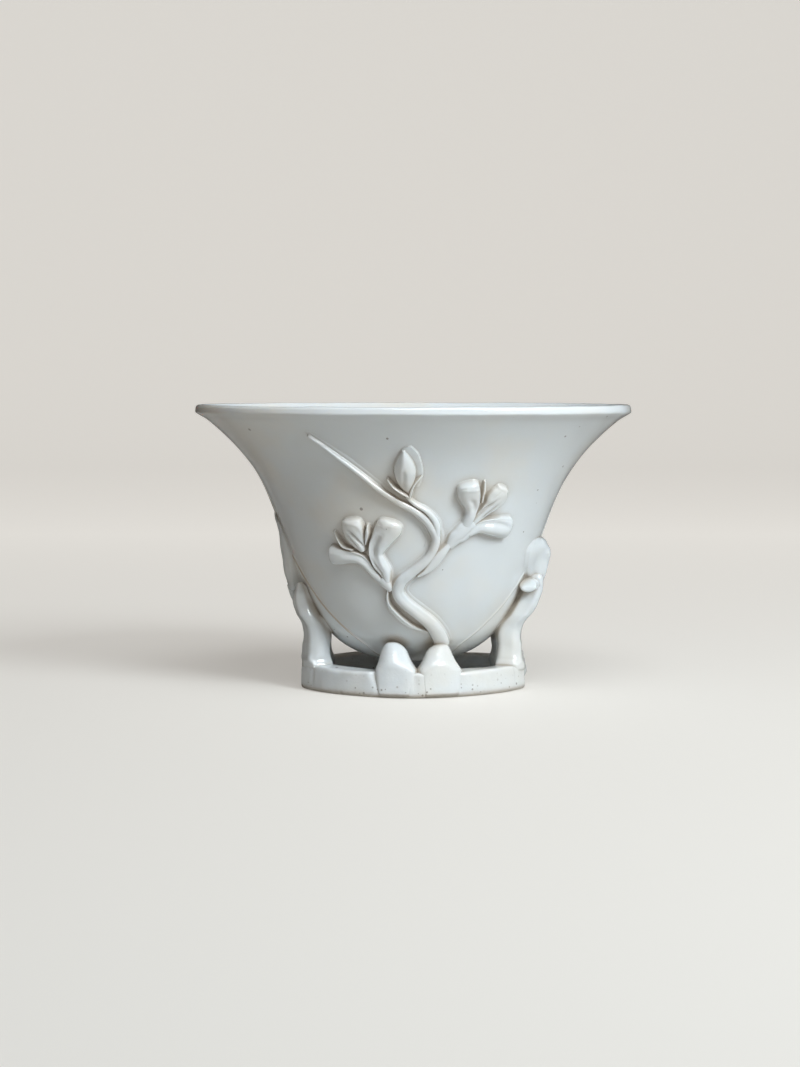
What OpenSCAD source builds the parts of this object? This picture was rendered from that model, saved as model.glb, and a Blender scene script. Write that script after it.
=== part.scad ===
// Oval porcelain wine cup with a flared lip, standing on an openwork foot of rocks and tree trunks.
// A magnolia spray is laid on the front and a plum spray on the back.
// Millimetres, +Z up, +X to the right of the magnolia side, which faces -Y.
// The origin lies on the table, under the middle of the cup.

/* [Bowl] */
// Length of the rim from side to side
rim_l = 118; // [100:1:140]
// Width of the rim from front to back
rim_w = 94; // [80:1:110]
// Height of the rim above the table
cup_h = 77; // [68:0.5:90]
// Length of the belly under the flare
belly_l = 72; // [66:1:80]
// Width of the belly under the flare
belly_w = 58; // [53:1:64]
// Height of the bowl's underside above the table
bowl_z = 7; // [5.5:0.5:9]
// Thickness of the wall in the belly
wall_t = 3; // [2:0.1:4.5]
// Thickness of the rolled lip
lip_t = 2.2; // [1.6:0.1:3]

/* [Foot] */
// Length of the foot ring from side to side
base_l = 61; // [54:1:68]
// Width of the foot ring from front to back
base_w = 50; // [44:1:56]
// Height of the foot ring
base_h = 6.8; // [5:0.2:8]
// Thickness of the foot ring's wall
base_t = 7; // [5.5:0.1:8]
// Rise of the rocks above the foot ring
rock_h = 7.2; // [5.6:0.2:9]
// Width of a rock where it stands on the ring
rock_w = 10.2; // [8:0.2:12]
// Rise of the tree trunks above the foot ring
trunk_h = 23; // [19:0.5:26]
// Width of a tree trunk at its root
trunk_w = 7.2; // [5:0.2:8]
// Width of the cut stub on the right trunk
stub_w = 5.2; // [4:0.1:6]
// Reach of the cut stub
stub_l = 2.6; // [1.5:0.1:4]

/* [Sprays] */
// Width of the magnolia's stem at its foot
stem_w = 4.2; // [3:0.1:5]
// Height of the magnolia's stem off the bowl
stem_t = 2; // [1:0.1:3]
// Width of a full petal
petal_w = 6.6; // [5:0.1:7.2]
// Height of a full petal off the bowl
petal_t = 1.8; // [1:0.1:3]
// Width of the plum branch at its root
branch_w = 5; // [3.5:0.1:6]
// Height of the plum branch off the bowl
branch_t = 3.2; // [1.5:0.1:4]
// Width of a plum blossom
blossom_w = 10.4; // [8:0.2:11.5]
// Height of a plum blossom off the bowl
blossom_t = 1.6; // [1:0.1:2.5]

/* [Joints] */
// Thickness of the slip that joins the pieces
slip = 0.2; // [0.15:0.05:0.4]

/* [Hidden] */
glaze = [0.93, 0.94, 0.91];
petal_glaze = [0.96, 0.97, 0.95];
bare_body = [0.90, 0.88, 0.83];

// Bowl: the belly is a flattened curve and the flare a rising power curve added to it
belly_curve = 2.65;
belly_top_share = 0.94;
flare_curve = 3.5;
flare_start_share = 0.235;
lip_lean = 51;
lip_reach = lip_t / 2 * (1 - cos(lip_lean));
lip_l = rim_l / 2 - lip_reach;
lip_w = rim_w / 2 - lip_reach;
lip_z = cup_h - lip_t / 2 * (1 + sin(lip_lean));
belly_h = (cup_h - bowl_z) * belly_top_share;
flare_z = cup_h * flare_start_share;
crown_shares = [0.2, 0.38, 0.52, 0.64, 0.74, 0.82];
wall_steps = 11;
lip_steps = 3;
half_steps = 23;
slope_step = wall_t / 10;

// The two moulded halves meet on a surface that leans forward towards the bottom of the bowl
seam_lean = 1.85;
seam_top_share = 0.6;
seam_most = 0.8;

// Foot ring: an oval with flattened ends, slightly battered, rounded along its top
plan_curve = 1.18;
side_share = 1.06;
ring_steps = 40;
batter = base_t / 10;
top_round = base_t / 6;
foot_round = base_t / 9;

limb_sides = 12;
limb_steps = 2;
stand_share = 0.9;
strip_across = 6;
strip_steps = 2;
edge_share = 0.22;
petal_hollow = 0.45;

// Rows of a limb: turn from the front in degrees, rise share, lean share from the ring to the bowl,
// half width across the wall as a share, half width along the wall as a share
trunk_front_left_shares = [
    [-72, 0, 0, 1, 1.25], [-72.5, 0.22, 0, 0.94, 1.15], [-74, 0.42, 0.3, 0.86, 1],
    [-76, 0.58, 1, 0.8, 0.88], [-76, 0.72, 1, 0.72, 0.78],
    [-74, 0.84, 1, 0.6, 0.62], [-73, 0.94, 1, 0.34, 0.34]
];
trunk_front_right_shares = [
    [73.5, 0, 0, 1, 1.12], [74, 0.22, 0, 0.9, 1.05], [75.5, 0.42, 0.3, 0.88, 0.98],
    [77.5, 0.58, 1, 0.88, 0.92], [79.5, 0.8, 1, 0.88, 0.88],
    [80, 0.98, 1, 0.7, 0.72], [80, 1.04, 1, 0.46, 0.46]
];
trunk_back_left_shares = [
    [-109, 0, 0, 1, 1.2], [-108, 0.2, 0.05, 0.88, 1.05], [-105, 0.4, 0.4, 0.82, 0.95],
    [-101, 0.6, 0.95, 0.78, 0.85], [-97, 0.76, 1, 0.74, 0.8], [-94, 0.88, 1, 0.66, 0.7]
];
trunk_back_right_shares = [
    [108, 0, 0, 1.4, 1.2], [110, 0.16, 0.02, 1.1, 1.05], [112, 0.36, 0.3, 0.8, 0.9],
    [115, 0.6, 0.95, 0.74, 0.8], [118, 0.8, 1, 0.6, 0.66], [120, 0.95, 1, 0.34, 0.4]
];
// The row of the right trunk at which its cut stub stands
stub_row_shares = [80, 0.95, 1, 0.74, 0.86];
rock_front_left_shares = [
    [-13.5, 0, 0, 0.6, 1], [-13.5, 0.3, 0.08, 0.54, 0.78], [-13.5, 0.7, 0.4, 0.46, 0.56],
    [-13.5, 0.93, 0.85, 0.34, 0.38], [-13.5, 1, 1, 0.18, 0.2]
];
rock_front_right_shares = [
    [16.5, 0, 0, 0.6, 0.96], [16.5, 0.28, 0.08, 0.54, 0.74], [17, 0.64, 0.4, 0.44, 0.54],
    [17.5, 0.86, 0.85, 0.32, 0.36], [17.5, 0.93, 1, 0.17, 0.2]
];
rock_back_left_shares = [
    [-160, 0, 0, 0.56, 1.2], [-161, 0.4, 0.1, 0.5, 1], [-163, 0.8, 0.45, 0.42, 0.7],
    [-165, 1.06, 0.9, 0.28, 0.4], [-165, 1.14, 1, 0.14, 0.2]
];
rock_back_right_shares = [
    [158, 0, 0, 0.56, 1.1], [159, 0.35, 0.08, 0.5, 0.9], [160, 0.68, 0.4, 0.4, 0.62],
    [161, 0.88, 0.85, 0.28, 0.36], [161, 0.96, 1, 0.14, 0.18]
];

// Rows of a strip: turn in degrees, height share, half width share, height off the bowl share.
// In the rows of the stem's foot, the side bud and the plum's root, the second number counts from the top of
// the rock or trunk below, in shares of the piece's own width.
stem_foot_shares = [[19.6, 0.48, 1.05, 1.1], [15.3, 0.92, 0.98, 1.05]];
stem_shares = [
    [9, 0.262, 0.9, 1], [2.5, 0.295, 0.86, 1],
    [-4, 0.33, 0.85, 1], [-7.5, 0.366, 0.85, 0.95], [-6, 0.405, 0.77, 0.95], [-1, 0.437, 0.7, 0.9],
    [3.5, 0.465, 0.66, 0.9], [7, 0.493, 0.62, 0.85], [8.8, 0.524, 0.6, 0.85], [9.3, 0.555, 0.6, 0.85],
    [7.6, 0.587, 0.6, 0.8], [4.5, 0.622, 0.56, 0.75], [0, 0.653, 0.52, 0.7], [-5.5, 0.68, 0.48, 0.65],
    [-12.5, 0.725, 0.42, 0.6], [-18.5, 0.778, 0.36, 0.55], [-24, 0.83, 0.3, 0.45], [-31, 0.907, 0.14, 0.25]
];
loop_twig_shares = [
    [-13, 0.368, 0.22, 0.4], [-14.6, 0.336, 0.25, 0.45], [-13, 0.294, 0.28, 0.45],
    [-8.3, 0.258, 0.28, 0.45], [-2.5, 0.236, 0.25, 0.4], [3, 0.218, 0.18, 0.35]
];
bud_twig_shares = [
    [-2, 0.693, 0.24, 0.5], [0.8, 0.675, 0.28, 0.55], [5, 0.657, 0.3, 0.6],
    [8.9, 0.632, 0.31, 0.6], [11.8, 0.599, 0.3, 0.6], [13.1, 0.565, 0.29, 0.6]
];
flower_twig_shares = [
    [5, 0.425, 0.18, 0.45], [8.8, 0.443, 0.32, 0.6], [11.8, 0.47, 0.44, 0.7],
    [13.3, 0.5, 0.48, 0.75], [14, 0.518, 0.44, 0.75]
];
bud_heart_shares = [
    [-2.9, 0.716, 0.3, 0.6], [-3.3, 0.735, 0.6, 0.9], [-3.6, 0.767, 0.88, 1.25], [-3.3, 0.8, 0.92, 1.35],
    [-3, 0.833, 0.72, 1.1], [-2.7, 0.855, 0.36, 0.7], [-2.5, 0.867, 0.1, 0.3]
];
bud_wrap_shares = [
    [1.3, 0.762, 0.1, 0.4], [1.9, 0.784, 0.15, 0.8], [2, 0.808, 0.15, 0.8],
    [1.3, 0.838, 0.12, 0.6], [-0.1, 0.86, 0.08, 0.3]
];
bud_sepal_left_shares = [
    [-3.2, 0.701, 0.14, 0.5], [-5.6, 0.713, 0.15, 0.6], [-8.2, 0.731, 0.15, 0.6], [-10, 0.754, 0.08, 0.3]
];
bud_sepal_right_shares = [
    [-1.2, 0.706, 0.12, 0.5], [-0.2, 0.725, 0.15, 0.7], [1.2, 0.743, 0.15, 0.6], [2.7, 0.758, 0.08, 0.3]
];
left_neck_shares = [
    [-11.9, 0.386, 0.26, 0.7], [-12.9, 0.399, 0.36, 0.8], [-14.4, 0.415, 0.4, 0.8]
];
left_outer_shares = [
    [-17, 0.426, 0.32, 0.7], [-19.3, 0.444, 0.38, 0.7], [-22, 0.469, 0.48, 0.75], [-26.5, 0.485, 0.54, 0.8],
    [-31.5, 0.492, 0.66, 0.9], [-36, 0.494, 0.78, 0.95], [-39, 0.495, 0.6, 0.7], [-40.5, 0.496, 0.2, 0.4]
];
left_sepal_shares = [
    [-28.7, 0.523, 0.09, 0.4], [-31.5, 0.535, 0.11, 0.45],
    [-33.3, 0.548, 0.11, 0.45], [-35, 0.574, 0.06, 0.25]
];
left_upper_shares = [
    [-22.3, 0.518, 0.22, 0.5], [-23.2, 0.54, 0.5, 0.75], [-24.4, 0.571, 0.76, 0.95], [-25.2, 0.604, 0.8, 1],
    [-25.5, 0.627, 0.54, 0.8], [-25.5, 0.638, 0.16, 0.4]
];
left_middle_shares = [
    [-19.4, 0.518, 0.09, 0.4], [-18.9, 0.54, 0.14, 0.5], [-18.4, 0.565, 0.17, 0.55],
    [-18.3, 0.589, 0.18, 0.55], [-18.8, 0.613, 0.09, 0.3]
];
left_curled_shares = [
    [-13.4, 0.436, 0.28, 0.6], [-15.3, 0.461, 0.38, 0.8],
    [-15.8, 0.495, 0.42, 0.85], [-14.3, 0.527, 0.5, 0.9],
    [-12.1, 0.555, 0.62, 1], [-10.3, 0.582, 0.86, 1.1], [-9.6, 0.61, 0.98, 1.2],
    [-9.2, 0.628, 0.72, 1], [-9, 0.637, 0.22, 0.5]
];
right_neck_shares = [
    [16, 0.53, 0.32, 0.7], [18.2, 0.551, 0.52, 0.85], [21, 0.58, 0.62, 0.95]
];
right_cupped_shares = [
    [21.8, 0.614, 0.34, 0.8], [21.3, 0.655, 0.52, 0.9], [20.9, 0.686, 0.74, 1.1], [20.2, 0.717, 0.9, 1.3],
    [19.8, 0.741, 0.7, 1.15], [19.5, 0.753, 0.2, 0.5]
];
right_middle_shares = [
    [26.4, 0.706, 0.07, 0.3], [26.7, 0.722, 0.11, 0.4], [26.3, 0.738, 0.12, 0.4], [25.3, 0.752, 0.07, 0.25]
];
right_folded_shares = [
    [26.6, 0.643, 0.24, 0.6], [28.7, 0.664, 0.46, 0.8], [30.8, 0.684, 0.64, 1], [32.4, 0.704, 0.7, 1],
    [33.6, 0.723, 0.56, 0.8], [34.4, 0.735, 0.18, 0.4]
];
right_lower_shares = [
    [24.6, 0.586, 0.36, 0.8], [27.6, 0.594, 0.6, 0.95], [31.8, 0.598, 0.76, 1.1], [36.3, 0.595, 0.9, 1.2],
    [40.7, 0.592, 0.92, 1.25], [44.4, 0.588, 0.66, 0.95], [46.3, 0.585, 0.22, 0.5]
];
side_bud_shares = [
    [82, 0.26, 0.6, 1.9], [81.5, 0.44, 0.94, 2.3], [80.5, 0.82, 1.18, 2.45],
    [79.5, 1.22, 1.06, 2.1], [79, 1.48, 0.66, 1.4], [79, 1.6, 0.24, 0.6]
];
plum_root_shares = [[-91, 0.46, 1, 1.15], [-87, 1.1, 1.4, 1]];
plum_branch_shares = [
    [-84.5, 0.475, 1.6, 0.76], [-84.5, 0.528, 1.5, 0.54], [-87, 0.567, 1.24, 0.36],
    [-96, 0.607, 0.88, 0.34], [-113, 0.636, 0.6, 0.48], [-130, 0.637, 0.5, 0.5],
    [-146, 0.625, 0.46, 0.46], [-160, 0.638, 0.42, 0.44],
    [-174, 0.682, 0.36, 0.4], [-186, 0.738, 0.28, 0.34], [-196, 0.8, 0.14, 0.22]
];
plum_twig_up_shares = [
    [-137, 0.663, 0.24, 0.36], [-138, 0.69, 0.24, 0.36], [-136, 0.73, 0.2, 0.3], [-137, 0.775, 0.16, 0.24]
];
plum_twig_down_shares = [
    [-178, 0.668, 0.24, 0.36], [-186, 0.645, 0.22, 0.34], [-195, 0.612, 0.2, 0.3], [-204, 0.6, 0.16, 0.24]
];
plum_bud_shares = [[0, 0, 0.4, 0.5], [0, 0.01, 0.72, 0.8], [0, 0.026, 0.74, 0.85], [0, 0.042, 0.2, 0.3]];
plum_bud_place_shares = [[-137.5, 0.782], [-209, 0.571], [-200.5, 0.806]];
plum_bud_width_share = 0.45;
blossom_side_place_shares = [-128, 0.545];
blossom_low_place_shares = [-163, 0.545];
blossom_high_place_shares = [-156, 0.745];
blossom_sides = 20;
blossom_petals = 5;
blossom_notch = 0.24;
// Rings of a blossom: radius share, height share
blossom_ring_shares = [[0.1, 0], [1, 0], [1, 0.3], [0.7, 0.95], [0.36, 0.45], [0.2, 0.9], [0.08, 1]];

// Half length and half width of the bowl's outside at a height
function clamp(v, low, high) = min(max(v, low), high);
function belly_at(z) =
    let(t = clamp((z - bowl_z) / belly_h, 0, 1))
    pow(1 - pow(1 - t, belly_curve), 1 / belly_curve);
function flare_at(z) = pow(max(0, z - flare_z) / (lip_z - flare_z), flare_curve);
function half_len(z) = belly_l / 2 * belly_at(z) + (lip_l - belly_l / 2) * flare_at(z);
function half_wid(z) = belly_w / 2 * belly_at(z) + (lip_w - belly_w / 2) * flare_at(z);

// Slopes of the outside, and the point and outward normal at a turn from the front and a height
function len_slope(z) = (half_len(z + slope_step) - half_len(z - slope_step)) / (2 * slope_step);
function wid_slope(z) = (half_wid(z + slope_step) - half_wid(z - slope_step)) / (2 * slope_step);
function unit(v) = v / norm(v);
function bowl_normal(turn, z) =
    let(a = half_len(z), b = half_wid(z), s = sin(turn), c = cos(turn))
    unit([s / a, -c / b, -(s * s * len_slope(z) / a + c * c * wid_slope(z) / b)]);
function on_bowl(turn, z, off) =
    [half_len(z) * sin(turn), -half_wid(z) * cos(turn), z] + off * bowl_normal(turn, z);

// The same, moved across and up the surface by two distances
function turn_per_mm(turn, z) = 180 / PI / norm([half_len(z) * cos(turn), half_wid(z) * sin(turn)]);
function rise_per_mm(turn, z) = 1 / norm([len_slope(z) * sin(turn), wid_slope(z) * cos(turn), 1]);
function near_bowl(turn, z, across, up, off) =
    on_bowl(turn + across * turn_per_mm(turn, z), z + up * rise_per_mm(turn, z), off);

// A point that is inside the bowl is moved out to its glaze, a joint's thickness off
function clear_of_bowl(p) =
    let(above_bottom = p.z > bowl_z + slope_step)
    let(q = above_bottom ? norm([p.x / (half_len(p.z) + slip), p.y / (half_wid(p.z) + slip)]) : 1)
    q < 1 ? [p.x / q, p.y / q, p.z] : p;

// Rows between the given rows, on a smooth curve through them
function between(rows, i, f) =
    let(a = rows[max(i - 1, 0)], b = rows[i], c = rows[i + 1], d = rows[min(i + 2, len(rows) - 1)])
    b + f / 2 * ((c - a) + f * ((2 * a - 5 * b + 4 * c - d) + f * (3 * b - a - 3 * c + d)));
function smooth(rows, steps) = [
    for (i = [0 : len(rows) - 2]) for (k = [0 : steps - 1]) between(rows, i, k / steps),
    rows[len(rows) - 1]
];

// A closed solid through rings of points, with ends filled in or joined into a hoop
function flat(points, face) =
    let(a = points[face[0]], b = points[face[1]], c = points[face[2]])
    a == b || b == c || c == a;
module loft(rings, hoop = false) {
    n = len(rings[0]);
    rows = len(rings);
    points = [for (ring = rings) each ring];
    last = hoop ? rows - 1 : rows - 2;
    sides = [
        for (i = [0 : last]) for (k = [0 : n - 1])
            let(a = i * n + k, b = i * n + (k + 1) % n, c = (a + n) % (rows * n), d = (b + n) % (rows * n))
                each [[a, b, c], [b, d, c]]
    ];
    ends = hoop ? [] : [
        for (k = [0 : ceil(n / 2) - 2])
            let(a = k, b = k + 1, c = n - 2 - k, d = n - 1 - k, e = (rows - 1) * n)
                each [[a, c, b], [a, d, c], [e + a, e + b, e + c], [e + a, e + c, e + d]]
    ];
    polyhedron(points, [for (face = concat(sides, ends)) if (!flat(points, face)) face], convexity = 8);
}

// The bowl's section as [half length, half width, height] rows, from under the bottom
// over the lip to the inside
crown_z = [
    for (s = crown_shares)
        bowl_z + belly_h * (1 - pow(1 - pow(s, belly_curve), 1 / belly_curve))
];
crown_top = crown_z[len(crown_z) - 1];
levels = concat(crown_z, [for (i = [1 : wall_steps]) crown_top + (lip_z - crown_top) * i / wall_steps]);
function section_normal(z) = unit([1, -len_slope(z)]);
function wall_at(z) = wall_t + (lip_t - wall_t) * flare_at(z);
outside_rows = [for (z = levels) [half_len(z), half_wid(z), z]];
inside_rows = [
    for (z = levels)
        let(n = z == lip_z ? [cos(lip_lean), -sin(lip_lean)] : section_normal(z), w = wall_at(z))
        [half_len(z) - w * n[0], half_wid(z) - w * n[0], z - w * n[1]]
];
lip_rows = [
    for (i = [1 : lip_steps])
        let(g = -lip_lean + 180 * i / (lip_steps + 1))
        [rim_l / 2 - lip_t / 2 + lip_t / 2 * cos(g), rim_w / 2 - lip_t / 2 + lip_t / 2 * cos(g),
            cup_h - lip_t / 2 + lip_t / 2 * sin(g)]
];
function reversed(list) = [for (i = [len(list) - 1 : -1 : 0]) list[i]];
section_rows = concat(
    [[0, 0, bowl_z]], outside_rows, lip_rows, reversed(inside_rows), [[0, 0, bowl_z + wall_t]]
);
section_levels = concat(
    [bowl_z], levels, [for (i = [1 : lip_steps]) lip_z], reversed(levels), [bowl_z]
);
function seam_turn(z) = acos(clamp(seam_lean * (seam_top_share - z / cup_h), 0, seam_most));

// One moulded half: side is 1 for the front and -1 for the back
function bowl_ring(side, f) = [
    for (i = [0 : len(section_rows) - 1])
        let(
            row = section_rows[i],
            seam = seam_turn(section_levels[i]),
            turn = side > 0 ? -seam + 2 * seam * f : seam + (360 - 2 * seam) * f
        )
        [row[0] * sin(turn), -row[1] * cos(turn) - side * slip / 4, row[2]]
];
module bowl_half(side) {
    loft([for (j = [0 : half_steps]) bowl_ring(side, j / half_steps)]);
}

// The foot ring's plan: a point at a turn from the front, moved in from the outer edge
function plan(turn, inset) =
    let(s = sin(turn), c = cos(turn))
    [
        sign(s) * min(1, side_share * pow(abs(s), plan_curve)) * (base_l / 2 - inset),
        -sign(c) * pow(abs(c), plan_curve) * (base_w / 2 - inset)
    ];
function ring_point(turn, inset, z) = [plan(turn, inset).x, plan(turn, inset).y, z];

// A rock or trunk that stands on the ring and leans on the bowl
function limb_ring(row, rise, half, inset) =
    let(
        turn = row[0],
        z = base_h + slip + row[1] * rise,
        off = stand_share * row[3] * half,
        foot = plan(turn, inset),
        top = [(half_len(z) + off) * sin(turn), -(half_wid(z) + off) * cos(turn)],
        centre = foot + (top - foot) * clamp(row[2], 0, 1)
    )
    [
        for (k = [limb_sides - 1 : -1 : 0])
            let(
                g = 360 * (k + 0.5) / limb_sides,
                out = row[3] * half * cos(g),
                along = row[4] * half * sin(g)
            )
            clear_of_bowl([
                centre.x + out * sin(turn) + along * cos(turn),
                centre.y - out * cos(turn) + along * sin(turn),
                z
            ])
    ];
function trunk_ring(row) = limb_ring(row, trunk_h, trunk_w / 2, trunk_w / 2 + batter);
module rock(rows) {
    color(glaze) loft([for (row = smooth(rows, limb_steps)) limb_ring(row, rock_h, rock_w / 2, base_t / 2)]);
}
module trunk(rows) {
    color(glaze) loft([for (row = smooth(rows, limb_steps)) trunk_ring(row)]);
}

// Rows that rise above a rock or trunk by shares of a width, as rows with height shares of the cup
function above(limb, rise, shares, width) =
    let(top = base_h + slip + limb[len(limb) - 1][1] * rise)
    [for (row = shares) [row[0], (top + row[1] * width) / cup_h, row[2], row[3]]];

// A strip laid on the bowl: flat underneath on its slip, thin at its edges, and on top round or hollowed
function crown_at(s, hollow) = hollow > 0 ? min(1, 2 * s) - hollow * pow(s, 4) : s;
function strip_ring(rows, i, half, thick, hollow) =
    let(
        row = rows[i],
        z = row[1] * cup_h,
        before = rows[max(i - 1, 0)],
        after = rows[min(i + 1, len(rows) - 1)],
        run = (after[0] - before[0]) / turn_per_mm(row[0], z),
        climb = (after[1] - before[1]) * cup_h / rise_per_mm(row[0], z),
        way = [run, climb] / norm([run, climb]),
        w = half * row[2],
        t = thick * row[3]
    )
    concat(
        [for (k = [0 : strip_across]) let(d = -w * cos(180 * k / strip_across))
            near_bowl(row[0], z, d * way[1], -d * way[0], slip)],
        [for (k = [strip_across : -1 : 0])
            let(
                d = -w * cos(180 * k / strip_across),
                lift = t * (edge_share + (1 - edge_share) * crown_at(sin(180 * k / strip_across), hollow))
            )
            near_bowl(row[0], z, d * way[1], -d * way[0], slip + lift)]
    );
module strip(shares, half, thick, hollow = 0) {
    rows = smooth(shares, strip_steps);
    loft([for (i = [0 : len(rows) - 1]) strip_ring(rows, i, half, thick, hollow)]);
}
module twig(shares, width, thick) {
    color(glaze) strip(shares, width / 2, thick);
}
module petal(shares, hollow = 0) {
    color(petal_glaze) strip(shares, petal_w / 2, petal_t, hollow);
}

// A five-petalled blossom pressed in one piece
function blossom_ring(place, ring) = [
    for (k = [blossom_sides - 1 : -1 : 0])
        let(
            g = 360 * (k + 0.5) / blossom_sides,
            r = blossom_w / 2 * ring[0] * (1 - blossom_notch * (1 - abs(sin(blossom_petals * g / 2))))
        )
        near_bowl(place[0], place[1] * cup_h, r * cos(g), r * sin(g), slip + blossom_t * ring[1])
];
module blossom(place) {
    color(petal_glaze) loft([for (ring = blossom_ring_shares) blossom_ring(place, ring)]);
}

module bowl_front() {
    color(glaze) bowl_half(1);
}

module bowl_back() {
    color(glaze) bowl_half(-1);
}

module foot_ring() {
    color(bare_body) loft([
        for (i = [0 : ring_steps - 1])
            let(turn = 360 * i / ring_steps)
            [
                ring_point(turn, foot_round, 0),
                ring_point(turn, 0, foot_round),
                ring_point(turn, batter, base_h - top_round),
                ring_point(turn, batter + top_round, base_h),
                ring_point(turn, base_t - top_round, base_h),
                ring_point(turn, base_t, base_h - top_round),
                ring_point(turn, base_t, foot_round),
                ring_point(turn, base_t - foot_round, 0)
            ]
    ], hoop = true);
}

// The stub stands on the front of the right trunk, where a branch was cut off
module cut_stub() {
    turn = stub_row_shares[0];
    ring = trunk_ring(stub_row_shares);
    heart = (ring[0] + ring[limb_sides / 2]) / 2;
    reach = stub_row_shares[4] * trunk_w / 2 + slip;
    round = stub_l / 3;
    color(glaze)
        translate([heart.x - reach * cos(turn), heart.y - reach * sin(turn), heart.z])
            rotate([90, 0, turn - 90])
                rotate_extrude($fn = 32) {
                    square([stub_w / 2, stub_l - round]);
                    square([stub_w / 2 - round, stub_l]);
                    intersection() {
                        translate([stub_w / 2 - round, stub_l - round]) circle(round, $fn = 32);
                        square([stub_w / 2, stub_l]);
                    }
                }
}

module rock_front_left() rock(rock_front_left_shares);
module rock_front_right() rock(rock_front_right_shares);
module rock_back_left() rock(rock_back_left_shares);
module rock_back_right() rock(rock_back_right_shares);
module trunk_front_left() trunk(trunk_front_left_shares);
module trunk_front_right() trunk(trunk_front_right_shares);
module trunk_back_left() trunk(trunk_back_left_shares);
module trunk_back_right() trunk(trunk_back_right_shares);
module side_bud() petal(above(trunk_front_right_shares, trunk_h, side_bud_shares, petal_w));

module magnolia_stem() {
    foot = above(rock_front_right_shares, rock_h, stem_foot_shares, stem_w);
    twig(concat(foot, stem_shares), stem_w, stem_t);
}
module magnolia_loop_twig() twig(loop_twig_shares, stem_w, stem_t);
module magnolia_bud_twig() twig(bud_twig_shares, stem_w, stem_t);
module magnolia_flower_twig() twig(flower_twig_shares, stem_w, stem_t);

module bud_heart() petal(bud_heart_shares);
module bud_wrap() petal(bud_wrap_shares);
module bud_sepal_left() petal(bud_sepal_left_shares);
module bud_sepal_right() petal(bud_sepal_right_shares);

module left_flower_neck() petal(left_neck_shares);
module left_petal_outer() petal(left_outer_shares, petal_hollow);
module left_sepal() petal(left_sepal_shares);
module left_petal_upper() petal(left_upper_shares, petal_hollow);
module left_petal_middle() petal(left_middle_shares);
module left_petal_curled() petal(left_curled_shares, petal_hollow);

module right_flower_neck() petal(right_neck_shares);
module right_petal_cupped() petal(right_cupped_shares, petal_hollow);
module right_petal_middle() petal(right_middle_shares);
module right_petal_folded() petal(right_folded_shares, petal_hollow);
module right_petal_lower() petal(right_lower_shares, petal_hollow);

module plum_branch() {
    root = above(trunk_back_left_shares, trunk_h, plum_root_shares, branch_w);
    twig(concat(root, plum_branch_shares), branch_w, branch_t);
}
module plum_twig_up() twig(plum_twig_up_shares, branch_w, branch_t);
module plum_twig_down() twig(plum_twig_down_shares, branch_w, branch_t);
module plum_blossom_side() blossom(blossom_side_place_shares);
module plum_blossom_low() blossom(blossom_low_place_shares);
module plum_blossom_high() blossom(blossom_high_place_shares);
module plum_buds() {
    for (place = plum_bud_place_shares)
        color(petal_glaze)
            strip(
                [for (row = plum_bud_shares) row + [place[0], place[1], 0, 0]],
                blossom_w / 2 * plum_bud_width_share, blossom_t
            );
}

bowl_front();
bowl_back();
foot_ring();
rock_front_left();
rock_front_right();
rock_back_left();
rock_back_right();
trunk_front_left();
trunk_front_right();
trunk_back_left();
trunk_back_right();
side_bud();
cut_stub();
magnolia_stem();
magnolia_loop_twig();
magnolia_bud_twig();
magnolia_flower_twig();
bud_heart();
bud_wrap();
bud_sepal_left();
bud_sepal_right();
left_flower_neck();
left_petal_outer();
left_sepal();
left_petal_upper();
left_petal_middle();
left_petal_curled();
right_flower_neck();
right_petal_cupped();
right_petal_middle();
right_petal_folded();
right_petal_lower();
plum_branch();
plum_twig_up();
plum_twig_down();
plum_blossom_side();
plum_blossom_low();
plum_blossom_high();
plum_buds();
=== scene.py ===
"""Oval porcelain wine cup with a magnolia spray in front and a plum spray behind, on an openwork foot.

Each visible piece is a closed surface worked out on a grid of two parameters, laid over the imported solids.
Lengths inside the shape functions are millimetres and angles are degrees, and every mesh is made in metres.
"""

import math

import bmesh
import bpy
import numpy as np
from bpy.props import FloatProperty, FloatVectorProperty, PointerProperty
from bpy.types import Operator, Panel, PropertyGroup
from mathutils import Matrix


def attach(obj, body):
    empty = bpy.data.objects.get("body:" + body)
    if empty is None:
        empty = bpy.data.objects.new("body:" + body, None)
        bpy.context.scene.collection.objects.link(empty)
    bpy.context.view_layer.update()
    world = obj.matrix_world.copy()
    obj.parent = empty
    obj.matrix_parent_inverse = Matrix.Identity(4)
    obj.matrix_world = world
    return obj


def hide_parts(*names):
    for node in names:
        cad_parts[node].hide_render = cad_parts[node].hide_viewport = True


bl_info = {
    "name": "Oval porcelain wine cup",
    "version": (1, 0, 0),
    "blender": (4, 5, 0),
    "location": "3D View > Sidebar > Cup",
    "description": "Builds an oval porcelain cup with relief sprays over its packed solids",
    "category": "Object",
}

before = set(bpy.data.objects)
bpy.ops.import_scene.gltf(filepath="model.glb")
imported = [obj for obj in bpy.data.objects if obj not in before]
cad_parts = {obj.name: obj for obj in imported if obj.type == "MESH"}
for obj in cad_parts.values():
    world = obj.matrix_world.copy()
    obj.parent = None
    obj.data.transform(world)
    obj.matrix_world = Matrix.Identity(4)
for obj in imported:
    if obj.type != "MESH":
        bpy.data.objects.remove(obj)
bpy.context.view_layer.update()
MM = 0.001


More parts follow.
